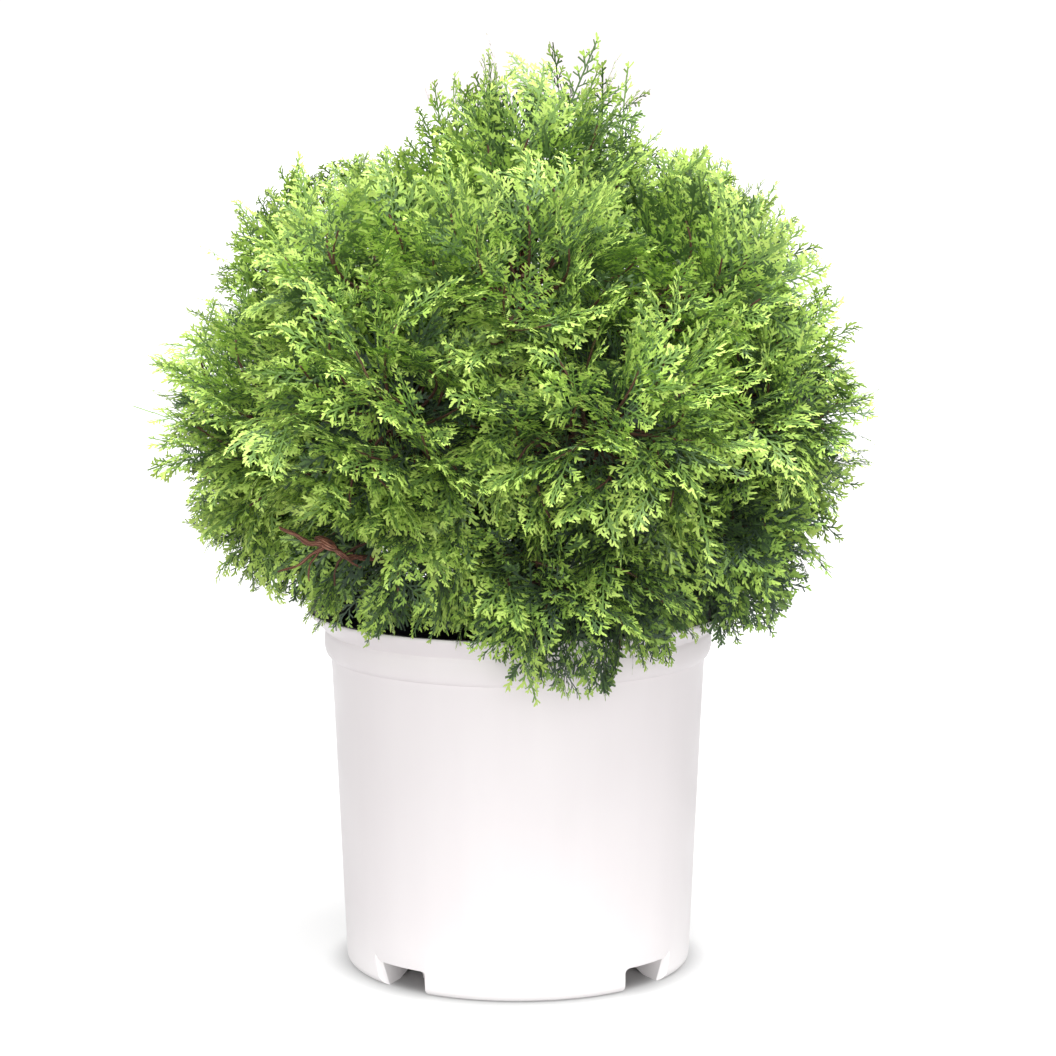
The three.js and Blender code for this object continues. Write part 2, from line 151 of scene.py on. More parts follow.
# Trunk and boughs
TRUNK_RADIUS = 11 * MM
TRUNK_TIP_RADIUS = 4 * MM
ROOT_FLARE = 8 * MM
ROOT_FLARE_HEIGHT = 16 * MM
TRUNK_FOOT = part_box("trunk")[0].z
TRUNK_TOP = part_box("trunk")[1].z
TRUNK_BEND = 7 * MM
TRUNK_LEAN = 9 * MM
BOUGH_STAGGER = 44 * MM  # a ring's boughs leave the trunk spread over this height
BOUGH_ROOT_RADIUS = {"upper": 4.6 * MM, "middle": 5.6 * MM, "lower": 6 * MM}
BOUGH_TIP_SHARE = 0.55  # of its root's radius
BOUGH_SAG = 0.13  # of its length
BOUGH_END = 7 * MM  # outside the core of its mass

# Foliage masses
MASS_SEED = 7919
CORE_SHARE = 0.7  # of a mass's radius
CORE_LUMP = 0.08
AZIMUTH_PLAY = 10  # degrees
OUT_PLAY = 8 * MM
HEIGHT_PLAY = 14 * MM
CROWN_MIDDLE = np.array([0, 0, 0.35])
SAG = 36 * MM  # how much lower the lowest masses hang on one side
SAG_SIDE = 26  # the azimuth of that side

# A bough that shows low on the left, where the foliage is open in front of it
BARE_MASS = "lower_1"
BARE_KNOT = np.array([-120, -123, 300]) * MM
BARE_CURVES = (  # the end and the middle of each curve from the knot, in millimetres, and its radii
    ((-99, -110, 289), (-112, -122, 291), 1.7, 2.0),
    ((-149, -127, 311), (-132, -129, 300), 2.5, 1.0),
    ((-150, -130, 283), (-129, -126, 289), 1.5, 0.6),
    ((-97, -122, 284), (-109, -125, 292), 1.3, 0.7),
    ((-130, -131, 277), (-133, -128, 288), 0.8, 0.5),
)
BARE_WAVE = 1.3 * MM
BARE_KNOT_RADIUS = 3.7 * MM
BARE_KNOT_HALF = np.array([7, 0, -4]) * MM  # from its middle to its end
BARE_RADIUS = 10 * MM  # how far round the bough it is open, seen from the front
BARE_DEPTH = 9 * MM  # how far behind the bough it is open

# Twigs and sprays
STEM_RADIUS = 3 * MM
STEM_PAST_CENTRE = 0.25  # of its length up to the mass's centre
TWIG_RADIUS = 1.3 * MM
TWIG_TIP_RADIUS = 0.7 * MM
TWIG_REACH = 1.12  # of the core, where a twig's tip lies
FRONDS_A_TWIG = 9
FAN_START = 0.38  # of a twig's length, where its first frond stands
FROND_ANGLES = (58, 30)  # from the twig at its root and at its end, in degrees
INNER_REACH = 0.3  # of the core, where the innermost fronds grow
INNER_LENGTH = 56 * MM
ENTRY_FRONDS = 7  # shaded fronds round the place where a mass's bough comes in
ENTRY_LENGTH = 58 * MM
FACING_BACK = -0.35  # how far a twig may face back into the crown
FACING_SIDEWAYS = -0.1  # a twig that faces further back has few fronds
BACK_FRONDS = 3
SHADED_SHARE = 0.52  # of a twig's length, up to which its fronds are in the shade and made plainly
FROND_LENGTH = 50 * MM
FROND_BREADTH = 0.6  # the longest side branchlet, as a share of the frond's length
SHADED_BREADTH = 0.7
WISP_BREADTH = 0.34
WISP_LENGTH = 1.3
WISPS = 0.12  # the share of twigs that end in a wisp
BRANCHLETS_A_FROND = 12
BRANCHLETS_A_SHADED_FROND = 10
BRANCHLET_ANGLES = (54, 26)  # from the rib at its root and at its end, in degrees
# Partly older growth and partly painted shade: branchlets near a frond's root, inside its fan, are dealt a
# tone deeper.
DEEPER_SHARE = 0.42  # of a frond's length, up to which its branchlets are a tone deeper
RIB_STEPS = 4
RIB_LENGTH = 12 * MM
RIB_WIDTH = 1.2 * MM
BRANCHLET_LENGTHS = (9 * MM, 15 * MM, 22 * MM)
BRANCHLET_STEPS = (12 * MM, 18.5 * MM)  # the reaches at which the next longer form is used
BRANCHLET_FORMS = 4  # different shapes of each length
SIZE_LIMITS = (0.7, 1.35)  # to which a form may be scaled
FORM_SEED = 5
STRIP_WIDTH = 1.1 * MM
PLAIN_CLUBS = 5
PLAIN_STRIP_WIDTH = 1.32 * MM
PLAIN_CLUB_WIDTH = 1.6 * MM
PLAIN_CLUB_ANGLE = math.radians(36)
CLUB_LENGTH = 4.3 * MM
CLUB_WIDTH = 1.45 * MM
INNER_CLUB_WIDTH = 1.2 * MM
CLUB_SPACING = 2.3 * MM
CLUB_ANGLES = (28, 50)  # in degrees
# Clubs pale towards a branchlet's tip: partly the fresh growth's own lime, partly painted light on the fan's
# rim, with painted shade near its root.
OUTER_SHARE = 0.55  # of a branchlet's length, beyond which its clubs are the palest
INNER_SHARE = 0.34  # up to which they are the deepest
ROUND_CLUB = ((0, 0.4), (0.74, 0.5), (1.04, 0), (0.74, -0.5), (0, -0.4))
BLUNT_CLUB = ((0, 0.4), (0.92, 0.5), (1, -0.34), (0, -0.4))
SHORTEST_FROND = 0.3  # of its length, where something stands in its way
FROND_SHARES = (1, 0.86, 0.72, 0.58)  # the lengths that a frond tries
ROOM_BEYOND_BOX = 7 * MM  # how far a spray may stand out of the solids' box
CLEAR_OF_POT = 1.5 * MM
OPEN_ABOVE_RIM = 5 * MM  # how high above its rim the pot stays free of leaves
MASSES_A_PIECE = 3
# A face's depth in tones is partly its age and partly painted shade, deepest inside the fan.
OUTER, BETWEEN, INNER = 0, 1, 3  # how many tones deeper than its frond a face is
PLAIN, FINE = 1, 1 + len(BRANCHLET_LENGTHS)  # the numbers of the first forms of each kind
SPRAY_KINDS = {  # what a spray's point holds
    "growth": "FLOAT_VECTOR", "face": "FLOAT_VECTOR", "size": "FLOAT", "form": "INT", "tone": "INT",
}

# How far each tier's fronds reach, as shares of a mass's radius and of its height. The power is 2 for a round
# mass, and more for a squarer one.
MASS_REACH = {"top": (0.9648, 1.34), "upper": (1.1, 1.1), "middle": (1.14, 1.14), "lower": (1.12, 1.12)}
REACH_POWER = {"top": 3.2, "upper": 2, "middle": 2, "lower": 2}

# Tones, from 0 for the fresh tips of the outermost sprays to the shaded leaves inside the crown. The deeper
# tones are partly the older growth's own darker green and partly painted shade, dealt out by where light
# falls on the crown.
LEAF_COLOURS = {
    "lime_leaf_tips": (0.54, 0.735, 0.168),
    "yellow_green_leaves": (0.465, 0.68, 0.135),
    "fresh_green_leaves": (0.33, 0.53, 0.105),
    "mid_green_leaves": (0.195, 0.335, 0.078),
    "deep_green_leaves": (0.10, 0.18, 0.062),
    "blue_green_leaves": (0.066, 0.108, 0.066),
}
TONES = len(LEAF_COLOURS)
# Inner fronds begin at this deep tone: painted shade inside the crown, partly also the older inner growth's
# darker green.
SHADED_TONE = 3  # the deepest that a frond begins at
# Painted light and shade by tier: the upper and middle tiers are dealt paler tones and the lowest tier deeper
# ones, as light falls from above.
TIER_PAINTED_SHADE_SHIFT = {"top": 0.2, "upper": -0.65, "middle": -0.35, "lower": 0.9}
# How deep each tier's painted shade may go: only the middle and lower tiers reach the blue-green.
DEEPEST_TONE = {"top": 4, "upper": 4, "middle": 5, "lower": 5}
# Tones deepen inwards along a twig: partly the older growth's own darker green, partly painted shade inside
# the crown.
INWARD_AGE_AND_PAINTED_SHADE = 2.6  # from a twig's end to its root
# Painted shade on the undersides and on fronds that face back into the crown, and painted light on the
# topsides.
UNDERSIDE_PAINTED_SHADE = 0.6
TOPSIDE_PAINTED_LIGHT = -0.7
BACK_PAINTED_SHADE = 1.2
# Painted light: the sprays on the side that faces this azimuth are dealt paler tones and those opposite
# deeper ones, as if lit from there.
PAINTED_LIGHT_SIDE = -60  # the azimuth where the tones are palest
PAINTED_LIGHT_SHIFT = 0.9


@dataclass
class Tier:
    """A ring of foliage masses. lift bends the sprays up, or lets them hang where it is negative. bough is
    the height where its boughs leave the trunk."""
    name: str
    count: int
    turn: float
    height: float
    out: float
    radius: float
    tall: float
    sprays: int
    lift: float
    bough: float


TIERS = (
    Tier("top", 1, 60, 0.509, 0.005, 0.084, 0.078, 20, 0.8, 0),
    Tier("upper", 6, -114, 0.453, 0.112, 0.086, 0.080, 19, 0.5, 0.366),
    Tier("middle", 7, -84, 0.375, 0.147, 0.090, 0.088, 24, 0.1, 0.290),
    Tier("lower", 7, -38, 0.316, 0.132, 0.080, 0.062, 22, -0.45, 0.238),
)


# Small sums
def unit(vector):
    vector = np.asarray(vector, float)
    return vector / np.linalg.norm(vector, axis=-1, keepdims=True)


def mix(low, high, share):
    return low + (high - low) * share


def outwards(azimuth):
    angle = math.radians(azimuth)
    return np.array([math.sin(angle), -math.cos(angle), 0])


def turned_about(vector, axis, angle):
    across = np.cross(axis, vector)
    along = axis * np.dot(axis, vector)
    return along + (vector - along) * math.cos(angle) + across * math.sin(angle)


def whole_product(a, b):
    return (a * b) & 0xFFFFFFFF


def seeded_stream(seed):
    """The stream of numbers from 0 to 1 that places the masses."""
    state = seed
    while True:
        state = (state + 0x6D2B79F5) & 0xFFFFFFFF
        t = whole_product(state ^ state >> 15, state | 1)
        t ^= (t + whole_product(t ^ t >> 7, t | 61)) & 0xFFFFFFFF
        yield (t ^ t >> 14) / 0x100000000


def golden_direction(i, count):
    """Directions spread evenly over a ball, from its top down."""
    height = 1 - 2 * (i + 0.5) / count
    level = math.sqrt(1 - height * height)
    return np.array([level * math.cos(i * GOLDEN_ANGLE), level * math.sin(i * GOLDEN_ANGLE), height])


def bezier(a, b, c, share):
    share = np.asarray(share)[..., None]
    return a * (1 - share) ** 2 + b * 2 * share * (1 - share) + c * share**2


# Node trees
def add_node(tree, kind, inputs=None, **settings):
    """Adds a node, with what feeds its inputs by their names or numbers."""
    node = tree.nodes.new(kind)
    for key, value in settings.items():
        setattr(node, key, value)
    for key, source in (inputs or {}).items():
        feed(tree, node.inputs[key], source)
    return node


def feed(tree, target, source):
    """Links an output to an input, or sets the input to a plain value."""
    if isinstance(source, bpy.types.NodeSocket):
        tree.links.new(source, target)
    else:
        target.default_value = source


def figure(tree, operation, *values):
    return add_node(tree, "ShaderNodeMath", dict(enumerate(values)), operation=operation).outputs[0]


def named(tree, name, kind):
    """A named attribute of the geometry."""
    node = add_node(tree, "GeometryNodeInputNamedAttribute", {"Name": name}, data_type=kind)
    return node.outputs["Attribute"]


def captured(tree, geometry, value, kind):
    """Keeps a value on a geometry's points, and gives both."""
    node = add_node(tree, "GeometryNodeCaptureAttribute", domain="POINT")
    node.capture_items.new(kind, "Kept")
    feed(tree, node.inputs["Geometry"], geometry)
    feed(tree, node.inputs["Kept"], value)
    return node.outputs["Geometry"], node.outputs["Kept"]


def forms_on_points(tree, points, forms, laid):
    """A collection's forms on points, as one real mesh. laid says how each of them lies."""
    separate = {"Separate Children": True, "Reset Children": True}
    shapes = add_node(tree, "GeometryNodeCollectionInfo", {"Collection": forms, **separate})
    given = {"Points": points, "Instance": shapes.outputs["Instances"], "Pick Instance": True}
    copies = add_node(tree, "GeometryNodeInstanceOnPoints", {**given, **laid})
    return add_node(tree, "GeometryNodeRealizeInstances", {0: copies.outputs[0]}).outputs[0]


def new_shape_tree(name, **inputs):
    """A Geometry Nodes tree with a Geometry input and named inputs, each given by its socket kind."""
    tree = bpy.data.node_groups.new(name, "GeometryNodeTree")
    tree.interface.new_socket("Geometry", in_out="INPUT", socket_type="NodeSocketGeometry")
    for label, kind in inputs.items():
        tree.interface.new_socket(label, in_out="INPUT", socket_type="NodeSocket" + kind)
    tree.interface.new_socket("Geometry", in_out="OUTPUT", socket_type="NodeSocketGeometry")
    return tree, add_node(tree, "NodeGroupInput").outputs, add_node(tree, "NodeGroupOutput").inputs


def grow(piece, tree, **values):
    """Runs a shape tree on a piece once, and leaves it a plain mesh."""
    modifier = piece.modifiers.new("shape", "NODES")
    modifier.node_group = tree
    sockets = {s.name: s.identifier for s in tree.interface.items_tree if s.in_out == "INPUT"}
    for label, value in values.items():
        modifier[sockets[label]] = value
    return settle(piece)


def settle(piece):
    """Turns a piece and its modifiers into a plain mesh."""
    bpy.context.view_layer.update()
    evaluated = piece.evaluated_get(bpy.context.evaluated_depsgraph_get())
    shaped = bpy.data.meshes.new_from_object(evaluated)
    shaped.name = piece.name
    piece.modifiers.clear()
    piece.data = shaped
    return piece


def add_object(name, data):
    made = bpy.data.objects.new(name, data)
    bpy.context.collection.objects.link(made)
    return made


def new_mesh(name, vertices, edges=(), faces=(), material=None):
    mesh = bpy.data.meshes.new(name)
    mesh.from_pydata([tuple(v) for v in vertices], edges, faces)
    if material:
        mesh.materials.append(material)
    return mesh


def new_piece(name, vertices, **parts):
    return add_object(name, new_mesh(name, vertices, **parts))


def store(mesh, name, kind, domain, values):
    attribute = mesh.attributes.new(name, kind, domain)
    key = "vector" if kind == "FLOAT_VECTOR" else "value"
    attribute.data.foreach_set(key, np.array(values, np.int32 if kind == "INT" else np.float32).ravel())


# Materials
def new_material(name, colour, roughness):
    """A material and its shader. colour is red, green and blue in linear light."""
    material = bpy.data.materials.new(name)
    material.use_nodes = True
    shader = material.node_tree.nodes["Principled BSDF"]
    shader.inputs["Base Color"].default_value = (*colour, 1)
    shader.inputs["Roughness"].default_value = roughness
    return material, material.node_tree, shader.inputs


def give_surface(tree, shader, colour, normal, roughness=None):
    """Gives a material's shader a colour, a relief and, where it varies, a roughness."""
    feed(tree, shader["Base Color"], colour)
    feed(tree, shader["Normal"], normal)
    if roughness:
        feed(tree, shader["Roughness"], roughness)


def noise(tree, vector, scale, detail=4):
    node = add_node(tree, "ShaderNodeTexNoise", {"Vector": vector, "Scale": scale, "Detail": detail})
    return node.outputs["Fac"]


def ramp(tree, amount, *stops):
    """Colours at shares of the way from 0 to 1."""
    node = add_node(tree, "ShaderNodeValToRGB", {"Fac": amount})
    elements = node.color_ramp.elements
    while len(elements) < len(stops):
        elements.new(1)
    for element, (place, colour) in zip(elements, stops):
        element.position = place
        element.color = (*colour, 1)
    return node.outputs["Color"]


def span(tree, amount, low, high):
    """Stretches an amount of 0.3 to 0.7, as noise gives, to low to high."""
    ends = {"From Min": 0.3, "From Max": 0.7, "To Min": low, "To Max": high}
    return add_node(tree, "ShaderNodeMapRange", {"Value": amount, **ends}).outputs["Result"]


def relief(tree, height, depth):
    """A bump of that depth in metres."""
    return add_node(tree, "ShaderNodeBump", {"Height": height, "Distance": depth}).outputs["Normal"]


def object_place(tree, stretch=(1, 1, 1)):
    place = add_node(tree, "ShaderNodeTexCoord").outputs["Object"]
    return add_node(tree, "ShaderNodeMapping", {"Vector": place, "Scale": stretch}).outputs["Vector"]


def along_limb(tree):
    """The place round and along a limb."""
    return add_node(tree, "ShaderNodeAttribute", attribute_name="grain").outputs["Vector"]


def make_leaf_materials():
    leaves = []
    for name, colour in LEAF_COLOURS.items():
        material, _, shader = new_material(name, colour, 0.48)
        shader["Specular IOR Level"].default_value = 0.35
        leaves.append(material)
    return leaves


def make_rough(name, colour, roughness, stops, place, grain, depth, gloss):
    """A rough material. A noise gives it its colours and a relief of that depth, and another its roughness.
    grain is the first one's scale and detail, and gloss the second one's, with the least and the most."""
    material, tree, shader = new_material(name, colour, roughness)
    where = place(tree)
    lumps = noise(tree, where, *grain)
    scale, detail, low, high = gloss
    uneven = span(tree, noise(tree, where, scale, detail), low, high)
    give_surface(tree, shader, ramp(tree, lumps, *stops), relief(tree, lumps, depth), uneven)
    return material


def make_bark():
    """Stringy red-brown bark whose fibres run along each limb."""
    stops = (0.36, (0.03, 0.012, 0.008)), (0.5, (0.2, 0.072, 0.04)), (0.66, (0.52, 0.27, 0.18))
    return make_rough(
        "stringy_bark", (0.15, 0.07, 0.045), 0.9, stops,
        place=along_limb, grain=(5, 6), depth=0.8 * MM, gloss=(1.6, 3, 0.8, 0.98),
    )


def make_young_bark():
    """Smoother, darker bark on the twigs."""
    stops = (0.34, (0.03, 0.014, 0.009)), (0.5, (0.11, 0.05, 0.03)), (0.66, (0.2, 0.105, 0.065))
    return make_rough(
        "young_bark", (0.09, 0.045, 0.03), 0.8, stops,
        place=along_limb, grain=(4, 4), depth=0.3 * MM, gloss=(4, 4, 0.7, 0.9),
    )


def make_potting_mix():
    stops = (0.3, (0.006, 0.004, 0.003)), (0.52, (0.03, 0.019, 0.012)), (0.75, (0.09, 0.058, 0.036))
    return make_rough(
        "potting_mix", (0.03, 0.02, 0.014), 0.95, stops,
        place=object_place, grain=(260, 6), depth=2 * MM, gloss=(90, 4, 0.85, 1),
    )


def make_bark_chips():
    material, tree, shader = new_material("bark_chips", (0.07, 0.04, 0.024), 0.9)
    place = object_place(tree)
    stops = (0.32, (0.012, 0.008, 0.006)), (0.5, (0.06, 0.034, 0.02)), (0.7, (0.16, 0.1, 0.062))
    colour = ramp(tree, noise(tree, place, 140, 5), *stops)
    give_surface(tree, shader, colour, relief(tree, noise(tree, place, 700, 3), 0.5 * MM))
    return material


def make_white_plastic():
    """Semi-gloss moulded plastic with a faint upright flow and handling marks in its gloss."""
    material, tree, shader = new_material("white_plastic", (0.88, 0.864, 0.86), 0.36)
    flow = noise(tree, object_place(tree, (1, 1, 0.12)), 45, 3)
    colour = ramp(tree, flow, (0.3, (0.872, 0.854, 0.852)), (0.7, (0.888, 0.872, 0.868)))
    place = object_place(tree)
    grains = relief(tree, noise(tree, place, 700, 2), 0.02 * MM)
    give_surface(tree, shader, colour, grains, span(tree, noise(tree, place, 30, 6), 0.3, 0.44))
    return material


def make_black_plastic():
    """The pot's dark inside, with fine moulded rings."""
    material, tree, shader = new_material("navy_black_plastic", (0.008, 0.01, 0.022), 0.34)
    pattern = {"Vector": object_place(tree), "Scale": 190}
    rings = add_node(tree, "ShaderNodeTexWave", pattern, wave_type="BANDS", bands_direction="Z")
    scuffs = noise(tree, object_place(tree, (1, 1, 0.3)), 80, 5)
    colour = ramp(tree, scuffs, (0.35, (0.006, 0.008, 0.018)), (0.7, (0.02, 0.022, 0.035)))
    ribs = relief(tree, rings.outputs["Fac"], 0.15 * MM)
    give_surface(tree, shader, colour, ribs, span(tree, scuffs, 0.26, 0.42))
    return material


# Pot
def arc(middle, radii, start, end, steps):
    """Points [radius, height] on an ellipse's arc. Angles are in degrees, from level outwards up."""
    angles = np.radians(np.linspace(start, end, steps + 1))
    return [(middle[0] + radii[0] * math.cos(a), middle[1] + radii[1] * math.sin(a)) for a in angles]


def pot_profile(inset):
    """The outside from the underside's middle to the lip; inset moves it in by the wall, for the inside."""
    top = POT_HEIGHT
    corner = FOOT_CORNER - inset / 2
    middle = (FOOT_RADIUS - inset - corner, inset + corner)
    foot = arc(middle, (corner, corner), -90, 0, 6)
    bead_foot = (BEAD_RADIUS - BEAD_FOOT_RADIUS, BEAD_FOOT_DROP - BEAD_DROP)
    bead = arc((BEAD_FOOT_RADIUS - inset, top - BEAD_DROP), bead_foot, -88, 0, 9)
    bead_top = (BEAD_RADIUS - CREASE_RADIUS, BEAD_DROP - CREASE_DROP)
    bead += arc((CREASE_RADIUS - inset, top - BEAD_DROP), bead_top, 8, 62, 5)
    crease = (CREASE_RADIUS - inset, top - CREASE_DROP + 0.6 * MM)
    for share in WALL_RINGS:
        radius = mix(FOOT_RADIUS, BEAD_FOOT_RADIUS, share) - inset
        foot.append((radius, mix(FOOT_CORNER, top - BEAD_FOOT_DROP, share)))
    if inset:
        rim_radius = LIP_RADIUS - LIP_WIDTH
        flare = flare_curve(crease, (rim_radius - 9.6 * MM, top - 8.5 * MM), (rim_radius, top))
        return [(0, inset), *foot, *bead, *flare, (rim_radius, top + MM), (0, top + MM)]
    flare = flare_curve(crease, (LIP_RADIUS - 8 * MM, top - 10 * MM), (LIP_RADIUS, top - 2 * MM))
    rim = arc((LIP_RADIUS - LIP_ROUND, top - LIP_ROUND), (LIP_ROUND, LIP_ROUND), 0, 90, 4)
    return [(0, 0), *foot, *bead, *flare, *rim, (0, top)]


def flare_curve(start, bend, end):
    shares = np.arange(FLARE_STEPS + 1) / FLARE_STEPS
    points = bezier(*map(np.array, (start, bend, end)), shares)
    return [tuple(point) for point in points.tolist()]


def turned(name, profile, sides, material):
    """A solid of revolution about Z from points [radius, height] that start and end on the axis."""
    vertices, rows = [], []
    for radius, height in profile:
        if radius == 0:
            rows.append([len(vertices)] * sides)
            vertices.append((0, 0, height))
            continue
        rows.append(list(range(len(vertices), len(vertices) + sides)))
        for i in range(sides):
            angle = math.tau * i / sides
            vertices.append((radius * math.cos(angle), radius * math.sin(angle), height))
    faces = []
    for low, high in zip(rows, rows[1:]):
        for i in range(sides):
            j = (i + 1) % sides
            face = [low[i], low[j], high[j], high[i]]
            faces.append(tuple(dict.fromkeys(face)))
    return new_piece(name, vertices, faces=faces, material=material)


def hull(name, points, material):
    """The smallest convex solid round some points."""
    mesh = bpy.data.meshes.new(name)
    shape = bmesh.new()
    for point in points:
        shape.verts.new(point)
    found = bmesh.ops.convex_hull(shape, input=shape.verts)
    spare = {v for v in found["geom_interior"] + found["geom_unused"] if isinstance(v, bmesh.types.BMVert)}
    bmesh.ops.delete(shape, geom=list(spare), context="VERTS")
    bmesh.ops.recalc_face_normals(shape, faces=shape.faces)
    shape.to_mesh(mesh)
    shape.free()
    mesh.materials.append(material)
    return add_object(name, mesh)


def notch_tools(material):
    """What is cut away at the four notches between the feet: a channel with a slanting outer side, the hollow
    under the base behind it, a facet on its edge, and the rounding of the front foot's corner. Points are in
    millimetres, as [outwards, forwards, up]."""
    height = NOTCH_HEIGHT / MM
    foot_round = FOOT_ROUND / MM
    outer = [(78.4, 36), (99.8, 80), (110, 140)]
    channel = [(x, y, z) for y in (60, 140) for x, z in arc((68, height - 3), (3, 3), 180, 90, 3)]
    channel += [(65, 60, -1), (65, 140, -1), (66, 36, -1), (68, 36, height)]
    channel += [(x, y, height) for x, y in outer] + [(x - NOTCH_SLANT / MM, y, -1) for x, y in outer]
    hollow = [(x, y, z) for x in (66, 100) for y, z in ((54.4, -1), (54.4, -0.4), (16, 7.5), (16, -1))]
    facet = [(96.9, 63.6, 20), (92.3, 64.6, height), (95, 74, height - 0.1), (104.5, 64, 14)]
    facet += [(87.2, 67.2, -1), (88.5, 74, -1), (101, 71.5, -1)]
    corner = arc((65 - foot_round, foot_round), (foot_round, foot_round), -90, 0, 6)
    corner += [(66, foot_round), (66, -1), (65 - foot_round, -1)]
    tools = []
    for sideways, lengthways in NOTCHES:
        turn = np.array([sideways, -lengthways, 1]) * MM
        for points in (channel, hollow, facet):
            tools.append(hull("notch_tool", np.array(points) * turn, material))
        ends = [[(x, y, z) for x, z in corner] for y in (52, 140)]
        tools.append(prism("corner_tool", np.array(ends) * turn, sideways * lengthways > 0, material))
    return tools


def block_tools(gap, material):
    """Solid plastic round each notch, which the pot's inside and its filling keep clear of."""
    plan = [(60, 140), (60, 10), (92, 10), (118, 36), (134, 80), (134, 140)]
    top = NOTCH_HEIGHT + gap
    tools = []
    for sideways, lengthways in NOTCHES:
        points = [(x * sideways * MM, -y * lengthways * MM, z) for x, y in plan for z in (-MM, top)]
        tools.append(hull("block_tool", points, material))
    return tools


def belt(count):
    """The faces between two rings of points."""
    return [(i, (i + 1) % count, count + (i + 1) % count, count + i) for i in range(count)]


def prism(name, ends, flip, material):
    """A solid between two equal outlines."""
    near, far = ends
    count = len(near)
    faces = [tuple(range(count))[::-1], tuple(range(count, 2 * count)), *belt(count)]
    if flip:
        faces = [face[::-1] for face in faces]
    return new_piece(name, [*near, *far], faces=faces, material=material)


def drain_tools(material):
    tools = []
    for azimuth in (45, 135, 225, 315):
        at = outwards(azimuth) * DRAIN_OUT
        rounds = [math.tau * i / DRAIN_SIDES for i in range(DRAIN_SIDES)]
        ring = [(at[0] + DRAIN_RADIUS * math.cos(a), at[1] + DRAIN_RADIUS * math.sin(a)) for a in rounds]
        ends = (NOTCH_HEIGHT - 0.5 * MM, NOTCH_HEIGHT + 10 * MM)
        tools.append(hull("drain_tool", [(x, y, z) for z in ends for x, y in ring], material))
    return tools


def cut(piece, tools):
    """Takes the tools out of a piece, and away."""
    for tool in tools:
        modifier = piece.modifiers.new("cut", "BOOLEAN")
        modifier.operation = "DIFFERENCE"
        modifier.solver = "EXACT"
        modifier.material_mode = "TRANSFER"
        modifier.object = tool
        settle(piece)
    for tool in tools:
        bpy.data.objects.remove(tool)
    return piece


def soften_edges(piece):
    """Rounds the sharp edges a little, and shades the rest smooth."""
    bevel = piece.modifiers.new("rounded edges", "BEVEL")
    bevel.width = SOFT_EDGE
    bevel.segments = 2
    bevel.limit_method = "ANGLE"
    bevel.angle_limit = SHARP_ANGLE
    bevel.use_clamp_overlap = True
    settle(piece)
    piece.data.shade_smooth()
    piece.data.set_sharp_from_angle(angle=SHARP_ANGLE)


def make_pot(white, dark):
    pot = turned("nursery_pot", pot_profile(0), POT_SIDES, white)
    cut(pot, notch_tools(white))
    inside = turned("pot_inside", pot_profile(POT_WALL), POT_SIDES, dark)
    cut(inside, block_tools(POT_WALL, dark))
    cut(pot, [inside, *drain_tools(white)])
    darken_rim(pot)
    soften_edges(pot)
    pot.data.transform(POT_TURN)
    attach(pot, "root")
    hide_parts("pot")


def darken_rim(pot):
    """The dark inner plastic comes up over the rim's flat top."""
    dark = pot.data.materials.find("navy_black_plastic")
    for face in pot.data.polygons:
        if face.center.z > POT_HEIGHT - 0.1 * MM:
            face.material_index = dark


# Potting mix
def soil_height(radius):
    share = 1 - min(1, radius / (CREASE_RADIUS - POT_WALL))
    return POT_HEIGHT - SOIL_DROP + SOIL_MOUND * min(1, share * 1.4)


def make_soil(mix_material, chips):
    gap = POT_WALL + SOIL_GAP
    wall = [point for point in pot_profile(gap) if point[1] < POT_HEIGHT - BEAD_FOOT_DROP]
    slope = (BEAD_FOOT_RADIUS - FOOT_RADIUS) / (POT_HEIGHT - BEAD_FOOT_DROP - FOOT_CORNER)
    edge = BEAD_FOOT_RADIUS - gap + slope * (BEAD_FOOT_DROP - SOIL_DROP)
    rings = [(edge * s, soil_height(edge * s)) for s in np.linspace(1, 0, SOIL_RINGS)]
    soil = turned("potting_mix_bed", [*wall, *rings[:-1], (0, rings[-1][1])], SOIL_SIDES, mix_material)
    cut(soil, block_tools(gap + SOIL_GAP, mix_material))
    soil.data.transform(POT_TURN)
    roughen_top(soil, soil_height(edge) - MM, edge)
    soil.data.shade_smooth()
    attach(soil, "root")
    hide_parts("potting_mix")
    make_crumbs(soil, chips, mix_material)


def roughen_top(soil, level, edge):
    """Small heaps and hollows, which fade out at the wall and where the trunk stands."""
    for vertex in soil.data.vertices:
        x, y, z = vertex.co
        out = math.hypot(x, y)
        if z < level:
            continue
        from_trunk = max(0, (out - CALM_AT_TRUNK) / HEAPS_BEGIN)
        fade = min(1, (edge - out) / CALM_AT_WALL, from_trunk)
        heap = field_noise.fractal(Vector((x, y, 0)) * HEAPS_A_METRE, 0.6, 2.1, 4)
        vertex.co.z = z + HEAP_HEIGHT * heap * max(0, fade)


